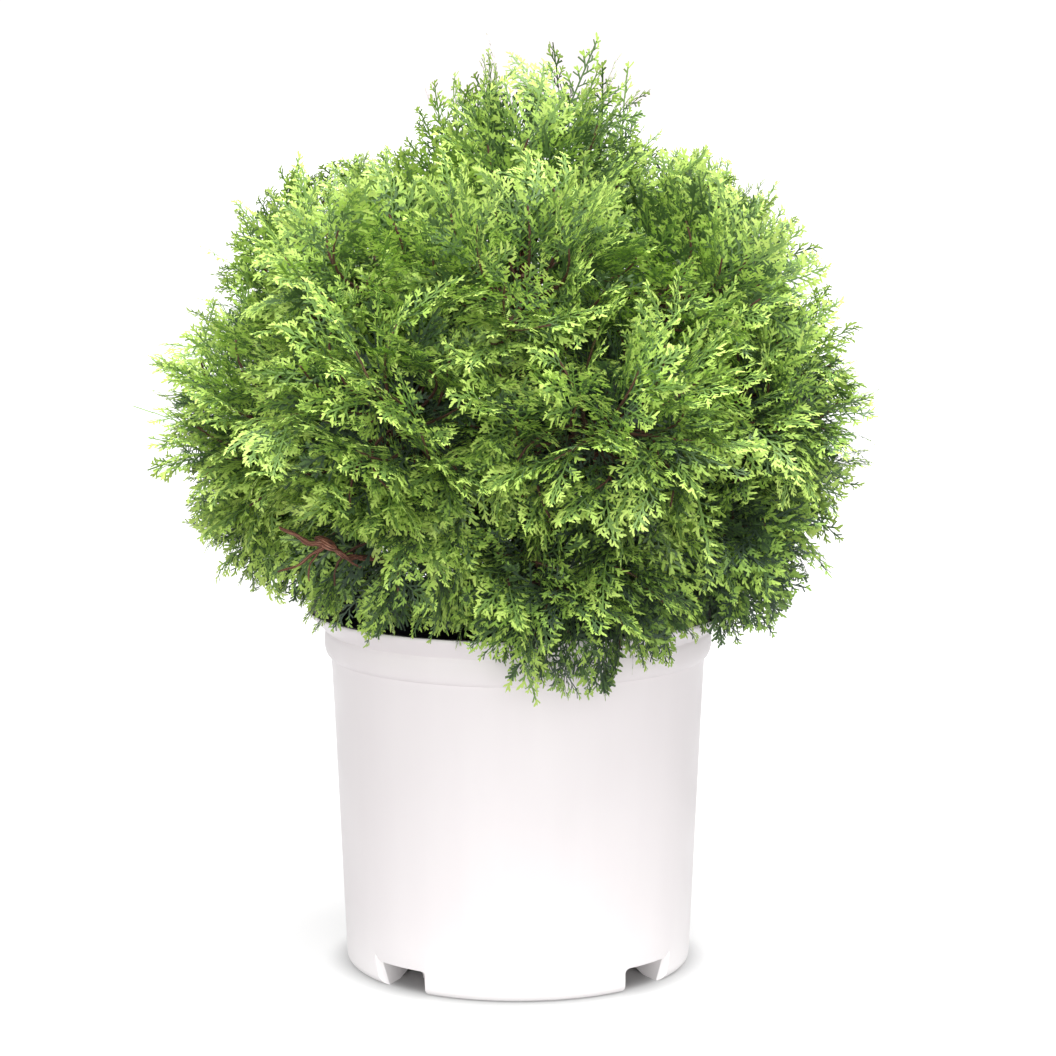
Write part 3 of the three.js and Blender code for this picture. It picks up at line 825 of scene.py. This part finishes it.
def make_crumbs(soil, chips, mix_material):
    """Loose lumps and slivers of bark that lie on the mix."""
    forms = bpy.data.collections.new("crumb_forms")
    random = np.random.default_rng(CRUMB_SEED)
    for i, stretch in enumerate(CRUMB_STRETCHES):
        points = unit(random.normal(size=(14, 3))) * stretch * CRUMB_RADIUS
        form = hull(f"crumb_form_{i}", points, chips if i % 2 else mix_material)
        bpy.context.collection.objects.unlink(form)
        forms.objects.link(form)
    tree, given, result = new_shape_tree("crumbs_on_the_mix", Forms="Collection")
    spread = {"Mesh": given["Geometry"], "Density": CRUMB_DENSITY, "Seed": SCATTER_SEED}
    points = add_node(tree, "GeometryNodeDistributePointsOnFaces", spread).outputs["Points"]
    size = add_node(tree, "FunctionNodeRandomValue", dict(zip((2, 3), CRUMB_SIZES)), data_type="FLOAT")
    turn = add_node(tree, "FunctionNodeRandomValue", {1: (math.tau,) * 3}, data_type="FLOAT_VECTOR")
    laid = {"Rotation": turn.outputs[0], "Scale": size.outputs[1]}
    feed(tree, result[0], forms_on_points(tree, points, given["Forms"], laid))

    crumbs = add_object("potting_mix_crumbs", soil.data.copy())
    keep_top(crumbs.data, POT_HEIGHT - SOIL_DROP - 2 * MM)
    grow(crumbs, tree, Forms=forms)
    drop_forms(forms)
    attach(crumbs, "root")


def keep_top(mesh, level):
    """Leaves only the faces that lie above a level and clear of the wall."""
    shape = bmesh.new()
    shape.from_mesh(mesh)
    low = [f for f in shape.faces if min(v.co.z for v in f.verts) < level or f.normal.z < 0.5]
    bmesh.ops.delete(shape, geom=low, context="FACES")
    shape.to_mesh(mesh)
    shape.free()


def drop_forms(forms):
    for form in list(forms.objects):
        bpy.data.objects.remove(form)
    bpy.data.collections.remove(forms)


# Limbs
def trunk_middle(height):
    """The trunk's middle line: it leans to the right and wanders a little on its way up."""
    share = (height - TRUNK_FOOT) / (TRUNK_TOP - TRUNK_FOOT)
    return np.array([
        TRUNK_LEAN * share + TRUNK_BEND * math.sin(share * 5.2) * share,
        TRUNK_BEND * math.sin(share * 4.1 + 0.6) * share,
        height,
    ])


def trunk_radius(height):
    share = (height - TRUNK_FOOT) / (TRUNK_TOP - TRUNK_FOOT)
    flare = max(0, 1 - (height - TRUNK_FOOT) / ROOT_FLARE_HEIGHT)
    return mix(TRUNK_RADIUS, TRUNK_TIP_RADIUS, share) + ROOT_FLARE * flare * flare


@dataclass
class Mass:
    """A mass of foliage, the curve of the bough that carries it, and the walls of its own space."""
    tier: Tier
    number: int
    azimuth: float
    centre: np.ndarray
    radius: float
    root: np.ndarray
    middle: np.ndarray
    entry: np.ndarray
    walls: list = field(default_factory=list)

    @property
    def name(self):
        return f"{self.tier.name}_{self.number}"

    def reach(self, direction):
        """From the centre to the lumpy core's surface, kept short of the walls."""
        x, y, z = direction
        lump = math.sin(4 * x + self.azimuth) * math.cos(5 * y - self.azimuth + 2 * z)
        size = np.array([self.radius, self.radius, self.tier.tall]) * CORE_SHARE * (1 + CORE_LUMP * lump)
        reach = direction * size
        share = 1.0
        for normal, offset in self.walls:
            falls = -np.dot(normal, reach)
            room = np.dot(normal, self.centre) - offset
            if falls > room:
                share = min(share, room / falls)
        return reach * share


def lay_out_masses():
    masses = []
    for tier in TIERS:
        for i in range(tier.count):
            stream = seeded_stream(MASS_SEED * (len(masses) + 1))
            azimuth = tier.turn + 360 / tier.count * i + (next(stream) - 0.5) * AZIMUTH_PLAY
            out = outwards(azimuth)
            centre = out * (tier.out + (next(stream) - 0.5) * OUT_PLAY)
            centre[2] = tier.height + (next(stream) - 0.5) * HEIGHT_PLAY
            if tier.lift < 0:
                centre[2] -= SAG * max(0, np.dot(out, outwards(SAG_SIDE))) ** 3
            radius = tier.radius * (0.97 + 0.06 * next(stream))
            root = trunk_middle(tier.bough + (i * 0.3) % 1 * BOUGH_STAGGER if tier.bough else TRUNK_TOP)
            entry = centre + unit(root - centre) * (CORE_SHARE * radius + BOUGH_END) if tier.bough else root
            sag = np.linalg.norm(root - entry) * BOUGH_SAG
            middle = (root + entry) / 2 + np.cross(UP, out) * sag * (next(stream) - 0.5) * 2
            middle[2] -= sag * (-0.6 if tier.lift < 0 else 1)
            masses.append(Mass(tier, i + 1, azimuth, centre, radius, root, middle, entry))
    for mass in masses:
        for other in masses:
            if other is mass:
                continue
            between = other.centre - mass.centre
            point = mass.centre + between * mass.radius / (mass.radius + other.radius)
            normal = -unit(between)
            mass.walls.append((normal, np.dot(normal, point)))
    return masses


def limb_tree():
    """Round limbs along the edges of a mesh, as thick as its radius says, with raised strips of bark. The
    grain attribute runs round and along each limb, for the bark's pattern."""
    kinds = {"Sides": "Int", "Relief": "Float", "Strip": "Float", "Bark": "Material"}
    tree, given, result = new_shape_tree("limbs_with_bark", **kinds)
    radius = named(tree, "radius", "FLOAT")
    lines = add_node(tree, "GeometryNodeMeshToCurve", {"Mesh": given["Geometry"]}).outputs["Curve"]
    along = add_node(tree, "GeometryNodeSplineParameter").outputs["Length"]
    lines, along = captured(tree, lines, along, "FLOAT")
    sides = {"Resolution": given["Sides"], "Radius": 1}
    ring = add_node(tree, "GeometryNodeCurvePrimitiveCircle", sides, mode="RADIUS").outputs["Curve"]
    ring, around = captured(tree, ring, add_node(tree, "GeometryNodeInputPosition").outputs[0], "VECTOR")
    sweep = {"Curve": lines, "Profile Curve": ring, "Fill Caps": True, "Scale": radius}
    skin = add_node(tree, "GeometryNodeCurveToMesh", sweep).outputs["Mesh"]

    around = add_node(tree, "ShaderNodeSeparateXYZ", {0: around}).outputs
    grain = {"X": around["X"], "Y": around["Y"], "Z": figure(tree, "MULTIPLY", along, given["Strip"])}
    grain = add_node(tree, "ShaderNodeCombineXYZ", grain).outputs[0]
    stored = {"Geometry": skin, "Name": "grain", "Value": grain}
    skin = add_node(
        tree, "GeometryNodeStoreNamedAttribute", stored, data_type="FLOAT_VECTOR", domain="POINT"
    ).outputs[0]
    below = figure(tree, "MULTIPLY", given["Relief"], -0.6)
    depth = figure(tree, "MULTIPLY_ADD", noise(tree, grain, 2.6), given["Relief"], below)
    push = {0: add_node(tree, "GeometryNodeInputNormal").outputs[0], "Scale": depth}
    push = add_node(tree, "ShaderNodeVectorMath", push, operation="SCALE").outputs[0]
    skin = add_node(tree, "GeometryNodeSetPosition", {"Geometry": skin, "Offset": push}).outputs[0]
    skin = add_node(tree, "GeometryNodeSetShadeSmooth", {"Geometry": skin}).outputs[0]
    dressed = add_node(tree, "GeometryNodeSetMaterial", {"Geometry": skin, "Material": given["Bark"]})
    feed(tree, result[0], dressed.outputs[0])
    return tree


class Lines:
    """Lines of points, each with a radius, that limbs are made along."""

    def __init__(self):
        self.points, self.edges, self.radii = [], [], []

    def add(self, points, radii):
        first = len(self.points)
        self.points.extend(points)
        self.radii.extend(radii)
        self.edges.extend((first + i, first + i + 1) for i in range(len(points) - 1))

    def make(self, name, tree, **values):
        piece = new_piece(name, self.points, edges=self.edges)
        store(piece.data, "radius", "FLOAT", "POINT", self.radii)
        grow(piece, tree, **values)
        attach(piece, "root")
        return piece


def make_trunk(tree, bark):
    steps = 90
    line = Lines()
    heights = [mix(TRUNK_FOOT, TRUNK_TOP, (i / steps) ** 1.2) for i in range(steps + 1)]
    line.add([trunk_middle(h) for h in heights], [trunk_radius(h) for h in heights])
    trunk = line.make("trunk_with_bark", tree, Sides=36, Relief=2 * MM, Strip=25.0, Bark=bark)
    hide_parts("trunk")


def make_boughs(masses, tree, bark):
    """Each bough leaves the trunk and ends where its mass begins, with one slow bend on the way."""
    carried = [mass for mass in masses if mass.tier.bough]
    lines = Lines()
    share = np.linspace(0, 1, 33)
    for mass in carried:
        thick = BOUGH_ROOT_RADIUS[mass.tier.name]
        curve = bezier(mass.root, mass.middle, mass.entry, share)
        lines.add(curve, mix(thick, thick * BOUGH_TIP_SHARE, share))
        if mass.name == BARE_MASS:
            add_bare_bough(lines, mass)
    boughs = lines.make("boughs_with_bark", tree, Sides=16, Relief=1.2 * MM, Strip=30.0, Bark=bark)
    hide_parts(*["bough_" + mass.name for mass in carried])


def add_bare_bough(lines, mass):
    """A bough that goes on from its mass's bough to a knot, and forks there."""
    share = np.linspace(0, 1, 17)
    for end, middle, thick, thin in BARE_CURVES:
        line = bezier(BARE_KNOT, np.array(middle) * MM, np.array(end) * MM, share)
        wave = BARE_WAVE * np.sin(share * 9 + thick * 3) * np.sin(math.pi * share)
        lumps = 1 + 0.16 * np.sin(share * 19 + thick * 7) + 0.12 * np.sin(share * 43 + thick * 5)
        lines.add(line + wave[:, None] * UP, mix(thick, thin, share) * lumps * MM)
    end, _, _, thick = BARE_CURVES[0]
    end = np.array(end) * MM
    lines.add(bezier(end, (mass.entry + end) / 2, mass.entry, share), np.full(len(share), thick * MM))
    along = np.linspace(-1, 1, 9)
    lines.add(BARE_KNOT + along[:, None] * BARE_KNOT_HALF, BARE_KNOT_RADIUS * np.sqrt(1.04 - along**2))


# Sprays
def club(root, angle, length, width, outline, vertices, faces):
    """A finger of scale leaves, from its outline's points [along, across]."""
    along = np.array([math.sin(angle), math.cos(angle), 0])
    across = np.array([math.cos(angle), -math.sin(angle), 0])
    first = len(vertices)
    for out, wide in outline:
        vertices.append(root + along * length * out + across * width * wide)
    faces.append(tuple(range(first, first + len(outline))))


def strip(root_width, end_width, length):
    """The corners of a flat strip along +Y."""
    sides = ((-root_width / 2, 0), (root_width / 2, 0), (end_width / 2, length), (-end_width / 2, length))
    return [np.array([x, y, 0]) for x, y in sides]


def branchlet_form(name, length, random):
    """A flat branchlet along +Y: a strip that forks into clubs alternately, and ends in one."""
    droop = random.uniform(-0.24, 0.06)
    vertices = strip(STRIP_WIDTH, STRIP_WIDTH, length * 0.64)
    faces, depths = [(0, 1, 2, 3)], [INNER]
    clubs = round(length * 0.8 / CLUB_SPACING)
    for i in range(clubs):
        share = mix(0.2, 0.86, (i + random.uniform(0.3, 0.7)) / clubs)
        angle = (1 if i % 2 else -1) * math.radians(random.uniform(*CLUB_ANGLES))
        reach = CLUB_LENGTH * random.uniform(0.75, 1.2)
        outer = share > OUTER_SHARE
        outline, width = (ROUND_CLUB, CLUB_WIDTH) if outer else (BLUNT_CLUB, INNER_CLUB_WIDTH)
        club(np.array([0, share * length, 0]), angle, reach, width, outline, vertices, faces)
        depths.append(OUTER if outer else BETWEEN if share > INNER_SHARE else INNER)
    end = np.array([0, length * 0.6, 0])
    club(end, random.uniform(-0.12, 0.12), length * 0.42, CLUB_WIDTH, ROUND_CLUB, vertices, faces)
    depths.append(OUTER)
    for vertex in vertices:
        vertex[2] += droop * vertex[1] ** 2 / length - 0.12 * abs(vertex[0])
    return spray_form(name, vertices, faces, depths)


def plain_form(name, length):
    """A branchlet that lies in the shade, with few clubs."""
    vertices = strip(PLAIN_STRIP_WIDTH, PLAIN_STRIP_WIDTH, length)
    faces = [(0, 1, 2, 3)]
    for i in range(PLAIN_CLUBS):
        root = np.array([0, length * mix(0.15, 0.75, i / (PLAIN_CLUBS - 1)), 0])
        angle = -PLAIN_CLUB_ANGLE if i % 2 else PLAIN_CLUB_ANGLE
        club(root, angle, CLUB_LENGTH, PLAIN_CLUB_WIDTH, BLUNT_CLUB, vertices, faces)
    return spray_form(name, vertices, faces, [INNER] + [BETWEEN] * PLAIN_CLUBS)


def rib_form(name):
    """A piece of a frond's flat rib along +Y."""
    return spray_form(name, strip(RIB_WIDTH, RIB_WIDTH * 0.84, RIB_LENGTH * 1.04), [(0, 1, 2, 3)], [INNER])


def spray_form(name, vertices, faces, depths):
    mesh = new_mesh(name, vertices, faces=faces)
    store(mesh, "depth", "INT", "FACE", depths)
    return bpy.data.objects.new(name, mesh)


def spray_forms():
    """The forms by their numbers: a rib, the plain branchlets and the fine ones, from short to long."""
    random = np.random.default_rng(FORM_SEED)
    forms = bpy.data.collections.new("spray_forms")
    forms.objects.link(rib_form("form_00"))
    for i, length in enumerate(BRANCHLET_LENGTHS):
        forms.objects.link(plain_form(f"form_{PLAIN + i:02d}", length))
        for j in range(BRANCHLET_FORMS):
            number = FINE + i * BRANCHLET_FORMS + j
            forms.objects.link(branchlet_form(f"form_{number:02d}", length, random))
    return forms


def spray_tree():
    """A form on every point, turned by the point's growth and face. Each of its faces is dressed by the
    point's tone and its own depth."""
    tones = {f"Tone {i}": "Material" for i in range(TONES)}
    tree, given, result = new_shape_tree("sprays_on_points", Forms="Collection", Deepest="Float", **tones)
    own = {name: named(tree, name, kind) for name, kind in SPRAY_KINDS.items()}
    axes = {"Primary Axis": own["growth"], "Secondary Axis": own["face"]}
    turn = add_node(tree, "FunctionNodeAxesToRotation", axes, primary_axis="Y", secondary_axis="Z")
    laid = {"Instance Index": own["form"], "Rotation": turn.outputs["Rotation"], "Scale": own["size"]}
    dressed = forms_on_points(tree, given["Geometry"], given["Forms"], laid)
    tone = figure(tree, "ADD", own["tone"], named(tree, "depth", "INT"))
    tone = figure(tree, "MINIMUM", tone, given["Deepest"])
    for i in range(TONES):
        compared = {"A": tone, "B": i, "Epsilon": 0.4}
        chosen = add_node(tree, "FunctionNodeCompare", compared, operation="EQUAL").outputs["Result"]
        dress = {"Geometry": dressed, "Selection": chosen, "Material": given[f"Tone {i}"]}
        dressed = add_node(tree, "GeometryNodeSetMaterial", dress).outputs[0]
    feed(tree, result[0], dressed)
    return tree


class Sprays:
    """The places of many forms: where each one grows, which way, how large and in which tone."""

    def __init__(self):
        self.columns = defaultdict(list)

    def add(self, **columns):
        for key, values in columns.items():
            self.columns[key].append(values)

    def make(self, name, tree, forms, leaves, deepest):
        table = {key: np.concatenate(values) for key, values in self.columns.items()}
        kept = table["free"] & in_box(table["end"]) & is_clear(table["end"])
        table = {key: values[kept] for key, values in table.items()}
        piece = new_piece(name, table["place"])
        for key, kind in SPRAY_KINDS.items():
            store(piece.data, key, kind, "POINT", table[key])
        tones = {f"Tone {i}": leaf for i, leaf in enumerate(leaves)}
        grow(piece, tree, Forms=forms, Deepest=float(deepest), **tones)
        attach(piece, "root")
        return piece


def clear_of_pot(points):
    """Which points are neither in the pot nor right above its rim."""
    heights = POT_HEIGHT - np.array([POT_HEIGHT, BEAD_FOOT_DROP, BEAD_DROP, CREASE_DROP, 0])
    radii = np.array([FOOT_RADIUS, BEAD_FOOT_RADIUS, BEAD_RADIUS, CREASE_RADIUS, LIP_RADIUS])
    out = np.hypot(points[:, 0], points[:, 1])
    wall = np.interp(points[:, 2], heights, radii)
    return (out >= wall + CLEAR_OF_POT) | (points[:, 2] >= POT_HEIGHT + OPEN_ABOVE_RIM)


def clear_of_bare_bough(points):
    """Which points don't hide the bare bough from the front."""
    sight = unit(np.array(CAMERA_PLACE) - BARE_KNOT)
    away = points - BARE_KNOT
    nearer = away @ sight
    away = away - nearer[:, None] * sight
    clear = np.ones(len(points), bool)
    for end, *_ in BARE_CURVES:
        along = np.array(end) * MM - BARE_KNOT
        along = along - np.dot(along, sight) * sight
        share = np.clip(away @ along / np.dot(along, along), 0, 1)
        aside = np.linalg.norm(away - share[:, None] * along, axis=1)
        clear &= (aside > BARE_RADIUS) | (nearer < -BARE_DEPTH)
    return clear


def is_clear(points):
    return clear_of_pot(points) & clear_of_bare_bough(points)


def clear_share(curve):
    """The share of a curve up to the first thing in its way, and 2 if nothing is."""
    share = np.linspace(0, 1, 25)
    clear = is_clear(curve(share))
    return 2 if clear.all() else share[np.argmin(clear)]


def in_box(points):
    low, high = (np.array(corner) for corner in cad_box)
    return ((points > low - ROOM_BEYOND_BOX) & (points < high + ROOM_BEYOND_BOX)).all(axis=1)


def add_frond(sprays, root, way, face, length, breadth, tone, shaded, random):
    """A flat frond: branchlets stand alternately along a rib that nods away from its face."""
    across = np.cross(way, face)
    nod = random.uniform(0.03, 0.26)
    curl = random.uniform(-0.12, 0.12)

    def on_rib(share):
        share = share[:, None]
        return root + length * (way * share - face * nod * share**2 + across * curl * share**2)

    def frame_on_rib(share):
        share = share[:, None]
        along = unit(way - face * 2 * nod * share + across * 2 * curl * share)
        normal = unit(face + way * 2 * nod * share)
        return along, normal, np.cross(along, normal)

    limit = clear_share(on_rib)
    if limit < SHORTEST_FROND:
        return
    count = BRANCHLETS_A_SHADED_FROND if shaded else BRANCHLETS_A_FROND
    share = np.linspace(0.08, 0.92, count) + random.uniform(-0.03, 0.03, count)
    along, normal, sideways = frame_on_rib(share)
    side = np.where(np.arange(count) % 2, 1, -1)
    envelope = np.minimum(1, 0.45 + 1.5 * share) * (1 - share) ** 0.55
    reach = length * breadth * envelope * random.uniform(0.62, 1.15, count)
    angle = np.radians(mix(*BRANCHLET_ANGLES, share) + random.uniform(-10, 10, count))
    growth = along * np.cos(angle)[:, None] + sideways * (side * np.sin(angle))[:, None]
    growth = unit(growth + normal * random.uniform(-0.08, 0.08, (count, 1)))
    kind = np.searchsorted(BRANCHLET_STEPS, reach)
    size = reach / np.array(BRANCHLET_LENGTHS)[kind]
    form = PLAIN + kind
    if not shaded:
        form = FINE + kind * BRANCHLET_FORMS + random.integers(0, BRANCHLET_FORMS, count)
    place = on_rib(share)
    sprays.add(
        place=place,
        growth=growth,
        face=unit(normal + random.uniform(-0.08, 0.08, (count, 3))),
        size=np.clip(size, *SIZE_LIMITS),
        form=form,
        tone=tone + (share < DEEPER_SHARE),
        end=place + growth * reach[:, None],
        free=share < limit,
    )

    steps = np.arange(RIB_STEPS + 1) / RIB_STEPS
    along, normal, _ = frame_on_rib(steps)
    place = on_rib(steps)
    last = steps == 1
    size = np.where(last, length / FROND_LENGTH, length / RIB_STEPS / RIB_LENGTH)
    last_reach = length / FROND_LENGTH * BRANCHLET_LENGTHS[0]
    last_form = PLAIN if shaded else FINE + random.integers(0, BRANCHLET_FORMS)
    sprays.add(
        place=np.where(last[:, None], place - along * 2 * MM, place),
        growth=along,
        face=normal,
        size=size,
        form=np.where(last, last_form, 0),
        tone=np.full(RIB_STEPS + 1, tone),
        end=place + along * last_reach * last[:, None],
        free=steps + 0.5 / RIB_STEPS < limit,
    )


def grow_twigs(mass, sprays, twigs):
    """Twigs that fork off the mass's stem and end in a fan of fronds each."""
    tier = mass.tier
    random = np.random.default_rng(MASS_SEED + round(mass.centre[0] * 1e6) % 100003)
    stem_share = np.linspace(0, 1, 9)
    end = mass.centre + (mass.centre - mass.entry) * STEM_PAST_CENTRE
    twigs.add(mix(mass.entry, end, stem_share[:, None]), mix(STEM_RADIUS, TWIG_RADIUS, stem_share))
    outward = unit(mass.centre - CROWN_MIDDLE)
    back = unit(mass.entry - mass.centre)
    for k in range(ENTRY_FRONDS):
        turn = math.tau * k / ENTRY_FRONDS + random.uniform(-0.3, 0.3)
        aside = turned_about(unit(np.cross(UP, back)), back, turn)
        way = unit(aside + back * random.uniform(-0.2, 0.5))
        add_shaded_frond(sprays, mass.entry, way, ENTRY_LENGTH, random)
    count = tier.sprays * 2
    for i in range(count):
        direction = golden_direction(i, count)
        facing = np.dot(direction, outward)
        if facing < FACING_BACK:
            continue
        reach = mass.reach(direction)
        tip = mass.centre + reach * TWIG_REACH * random.uniform(0.9, 1.12)
        fork = mix(mass.entry, mass.centre, random.uniform(0.5, 1))
        side = unit(np.cross(UP, direction))
        rising = np.cross(direction, side)
        lean = rising * (tier.lift + 0.5 * direction[2] + random.uniform(-0.4, 0.4))
        lean = unit(lean + side * random.uniform(-0.6, 0.6))
        stand = 0.38 + 0.7 * random.random() ** 2
        way = unit(direction * stand + lean * 0.75)
        level = unit(np.cross(UP, way) + random.normal(0, 0.05, 3))
        face = unit(np.cross(way, level))
        face = turned_about(face, way, random.normal(0, 0.35 + 0.6 * max(0, direction[2])))
        bend = tip - way * np.linalg.norm(tip - fork) * 0.5
        share = np.linspace(0, 1, 8)
        line = bezier(fork, bend, tip, share)
        if is_clear(line).all():
            twigs.add(line, mix(TWIG_RADIUS, TWIG_TIP_RADIUS, share))
        grow_fan(mass, sprays, (fork, bend, tip), face, facing, direction, random)
        inner_way = unit(direction + random.normal(0, 0.5, 3))
        add_shaded_frond(sprays, mass.centre + reach * INNER_REACH, inner_way, INNER_LENGTH, random)


def add_shaded_frond(sprays, root, way, length, random):
    """A frond inside the crown, which may face any side."""
    face = unit(np.cross(way, random.normal(0, 1, 3)))
    add_frond(sprays, root, way, face, length, SHADED_BREADTH, SHADED_TONE, True, random)


def length_within(mass, root, way, length, random):
    """The longest of a few lengths that keeps a frond's end within its mass's reach, or none."""
    tier = mass.tier
    wide, high = MASS_REACH[tier.name]
    axes = np.array([mass.radius * wide, mass.radius * wide, tier.tall * high]) * random.uniform(0.92, 1.1)
    for share in FROND_SHARES:
        out = np.abs((root + way * length * share - mass.centre) / axes)
        if np.sum(out ** REACH_POWER[tier.name]) < 1:
            return length * share
    return None


def grow_fan(mass, sprays, curve, face, facing, direction, random):
    """The fronds of a twig: one at its end and the others alternately beside it, in nearly one plane."""
    tier = mass.tier
    fork, bend, tip = curve
    count = FRONDS_A_TWIG if facing > FACING_SIDEWAYS else BACK_FRONDS
    for k in range(count):
        share = mix(FAN_START, 1, k / (count - 1))
        root = bezier(fork, bend, tip, share)
        along = unit(mix(bend - fork, tip - bend, share))
        plane = unit(face - along * np.dot(face, along))
        across = np.cross(along, plane)
        at_end = k == count - 1
        spread = 0 if at_end else (1 if k % 2 else -1) * math.radians(mix(*FROND_ANGLES, share))
        spread += random.uniform(-0.2, 0.2)
        way = along * math.cos(spread) + across * math.sin(spread)
        way = unit(way + plane * random.uniform(-0.3, 0.3) + UP * 0.12 * tier.lift)
        frond_face = unit(plane - way * np.dot(plane, way))
        frond_face = turned_about(frond_face, way, random.normal(0, 0.22))
        wisp = at_end and random.random() < WISPS
        length = FROND_LENGTH * random.uniform(0.8, 1.2) * (1 if at_end else mix(0.8, 0.95, share))
        length = length_within(mass, root, way, length * (WISP_LENGTH if wisp else 1), random)
        if length is None:
            continue
        # The frond's tone: it deepens inwards along the twig (older growth and painted shade) and at random,
        # is painted deeper on undersides, on back-facing fronds and low in the crown, and painted paler on
        # topsides, high up and towards one side.
        shade = INWARD_AGE_AND_PAINTED_SHADE * (1 - share) + random.uniform(-0.3, 0.9) + TIER_PAINTED_SHADE_SHIFT[tier.name]
        shade += UNDERSIDE_PAINTED_SHADE * max(0, -direction[2]) + TOPSIDE_PAINTED_LIGHT * max(0, direction[2])
        shade += BACK_PAINTED_SHADE * max(0, 0.3 - facing)
        shade -= PAINTED_LIGHT_SHIFT * np.dot(unit(root * (1, 1, 0)), outwards(PAINTED_LIGHT_SIDE))
        slender = 1 if wisp else 0.8 * max(0, way[2]) ** 2
        breadth = mix(FROND_BREADTH, WISP_BREADTH, slender)
        tone = min(SHADED_TONE, max(0, int(shade)))
        add_frond(sprays, root, way, frond_face, length, breadth, tone, share < SHADED_SHARE, random)


def make_foliage(masses, limbs, bark):
    leaves = make_leaf_materials()
    forms = spray_forms()
    tree = spray_tree()
    for tier in TIERS:
        own = [mass for mass in masses if mass.tier is tier]
        twigs = Lines()
        for start in range(0, len(own), MASSES_A_PIECE):
            group = own[start:start + MASSES_A_PIECE]
            sprays = Sprays()
            for mass in group:
                grow_twigs(mass, sprays, twigs)
            name = f"sprays_{tier.name}_{start // MASSES_A_PIECE + 1}"
            piece = sprays.make(name, tree, forms, leaves, DEEPEST_TONE[tier.name])
            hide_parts(*["foliage_" + mass.name for mass in group])
            piece.data.polygons.foreach_set("use_smooth", np.zeros(len(piece.data.polygons), bool))
        twigs.make(f"twigs_{tier.name}", limbs, Sides=6, Relief=0.3 * MM, Strip=60.0, Bark=bark)
    drop_forms(forms)


# Room
def make_floor():
    """A wide pale floor with a round middle, which alone throws light back at the plant. It glows evenly
    white, but its glow fades out under the pot, a painted contact shadow.
    """
    material, tree, shader = new_material("pale_floor", (0.36, 0.36, 0.36), 0.7)
    dull, pale = ((shade,) * 3 for shade in FLOOR_SHADES)
    feed(tree, shader["Base Color"], ramp(tree, noise(tree, object_place(tree), 3), (0.3, dull), (0.7, pale)))
    shader["Emission Color"].default_value = (1, 1, 1, 1)
    # The glow fades to nothing towards the pot's axis: a painted contact shadow.
    out = add_node(tree, "ShaderNodeVectorMath", {0: object_place(tree)}, operation="LENGTH")
    ends = {"From Min": GLOW_START, "From Max": GLOW_FULL, "To Max": FLOOR_GLOW}
    glow = {"Value": out.outputs["Value"], **ends}
    glow = add_node(tree, "ShaderNodeMapRange", glow, interpolation_type="SMOOTHSTEP")
    feed(tree, shader["Emission Strength"], glow.outputs["Result"])
    turns = np.arange(FLOOR_SIDES) * math.tau / FLOOR_SIDES
    around = np.stack([np.cos(turns), np.sin(turns), np.zeros(FLOOR_SIDES)], 1)
    inner = around * FLOOR_MIDDLE_RADIUS
    middle = new_piece("floor_middle", inner, faces=[range(FLOOR_SIDES)], material=material)
    rings = [*(around * FLOOR_RADIUS), *inner]
    rest = new_piece("floor", rings, faces=belt(FLOOR_SIDES), material=material)
    rest.visible_diffuse = False


def add_soft_light(name, towards, spread, strength):
    """A wide light that falls the same way everywhere."""
    light = bpy.data.lights.new(name, "SUN")
    light.angle = spread
    light.energy = strength
    lamp = add_object(name, light)
    lamp.rotation_euler = Vector(towards).to_track_quat("-Z", "Y").to_euler()


def make_sky():
    """Soft light from all round, and a white backdrop behind the plant."""
    world = bpy.data.worlds.new("studio")
    bpy.context.scene.world = world
    world.use_nodes = True
    sky = world.node_tree
    direction = add_node(sky, "ShaderNodeTexCoord").outputs["Generated"]
    way = add_node(sky, "ShaderNodeSeparateXYZ", {0: direction}).outputs
    forwards, height = (figure(sky, "MULTIPLY_ADD", way[axis], 0.5, 0.5) for axis in "YZ")
    shades = ramp(sky, height, (0.44, SKY_BELOW), (0.47, SKY_LEVEL), (0.6, SKY_LEVEL), (0.7, SKY_ABOVE))
    flag, backdrop = ((share,) * 3 for share in (BESIDE_BACKDROP, BACKDROP))
    behind = ramp(sky, forwards, (0.55, (1, 1, 1)), (0.75, flag), (0.984, flag), (0.991, backdrop))
    both = add_node(sky, "ShaderNodeVectorMath", {0: shades, 1: behind}, operation="MULTIPLY")
    feed(sky, sky.nodes["Background"].inputs["Color"], both.outputs[0])


def make_room():
    make_sky()
    make_floor()
    add_soft_light("overhead_light", *OVERHEAD_LIGHT)
    add_soft_light("front_light", *FRONT_LIGHT)
    bpy.context.scene.view_settings.view_transform = "Standard"

    camera = add_object("camera", bpy.data.cameras.new("camera"))
    camera.location = CAMERA_PLACE
    camera.rotation_euler = (math.pi / 2 - CAMERA_PITCH, 0, 0)
    camera.data.lens = CAMERA_LENS
    camera.data.sensor_width = 36
    camera.data.clip_start = 0.1
    bpy.context.scene.camera = camera


make_room()
make_pot(make_white_plastic(), make_black_plastic())
make_soil(make_potting_mix(), make_bark_chips())
masses = lay_out_masses()
bark = make_bark()
limbs = limb_tree()
make_trunk(limbs, bark)
make_boughs(masses, limbs, bark)
make_foliage(masses, limbs, make_young_bark())
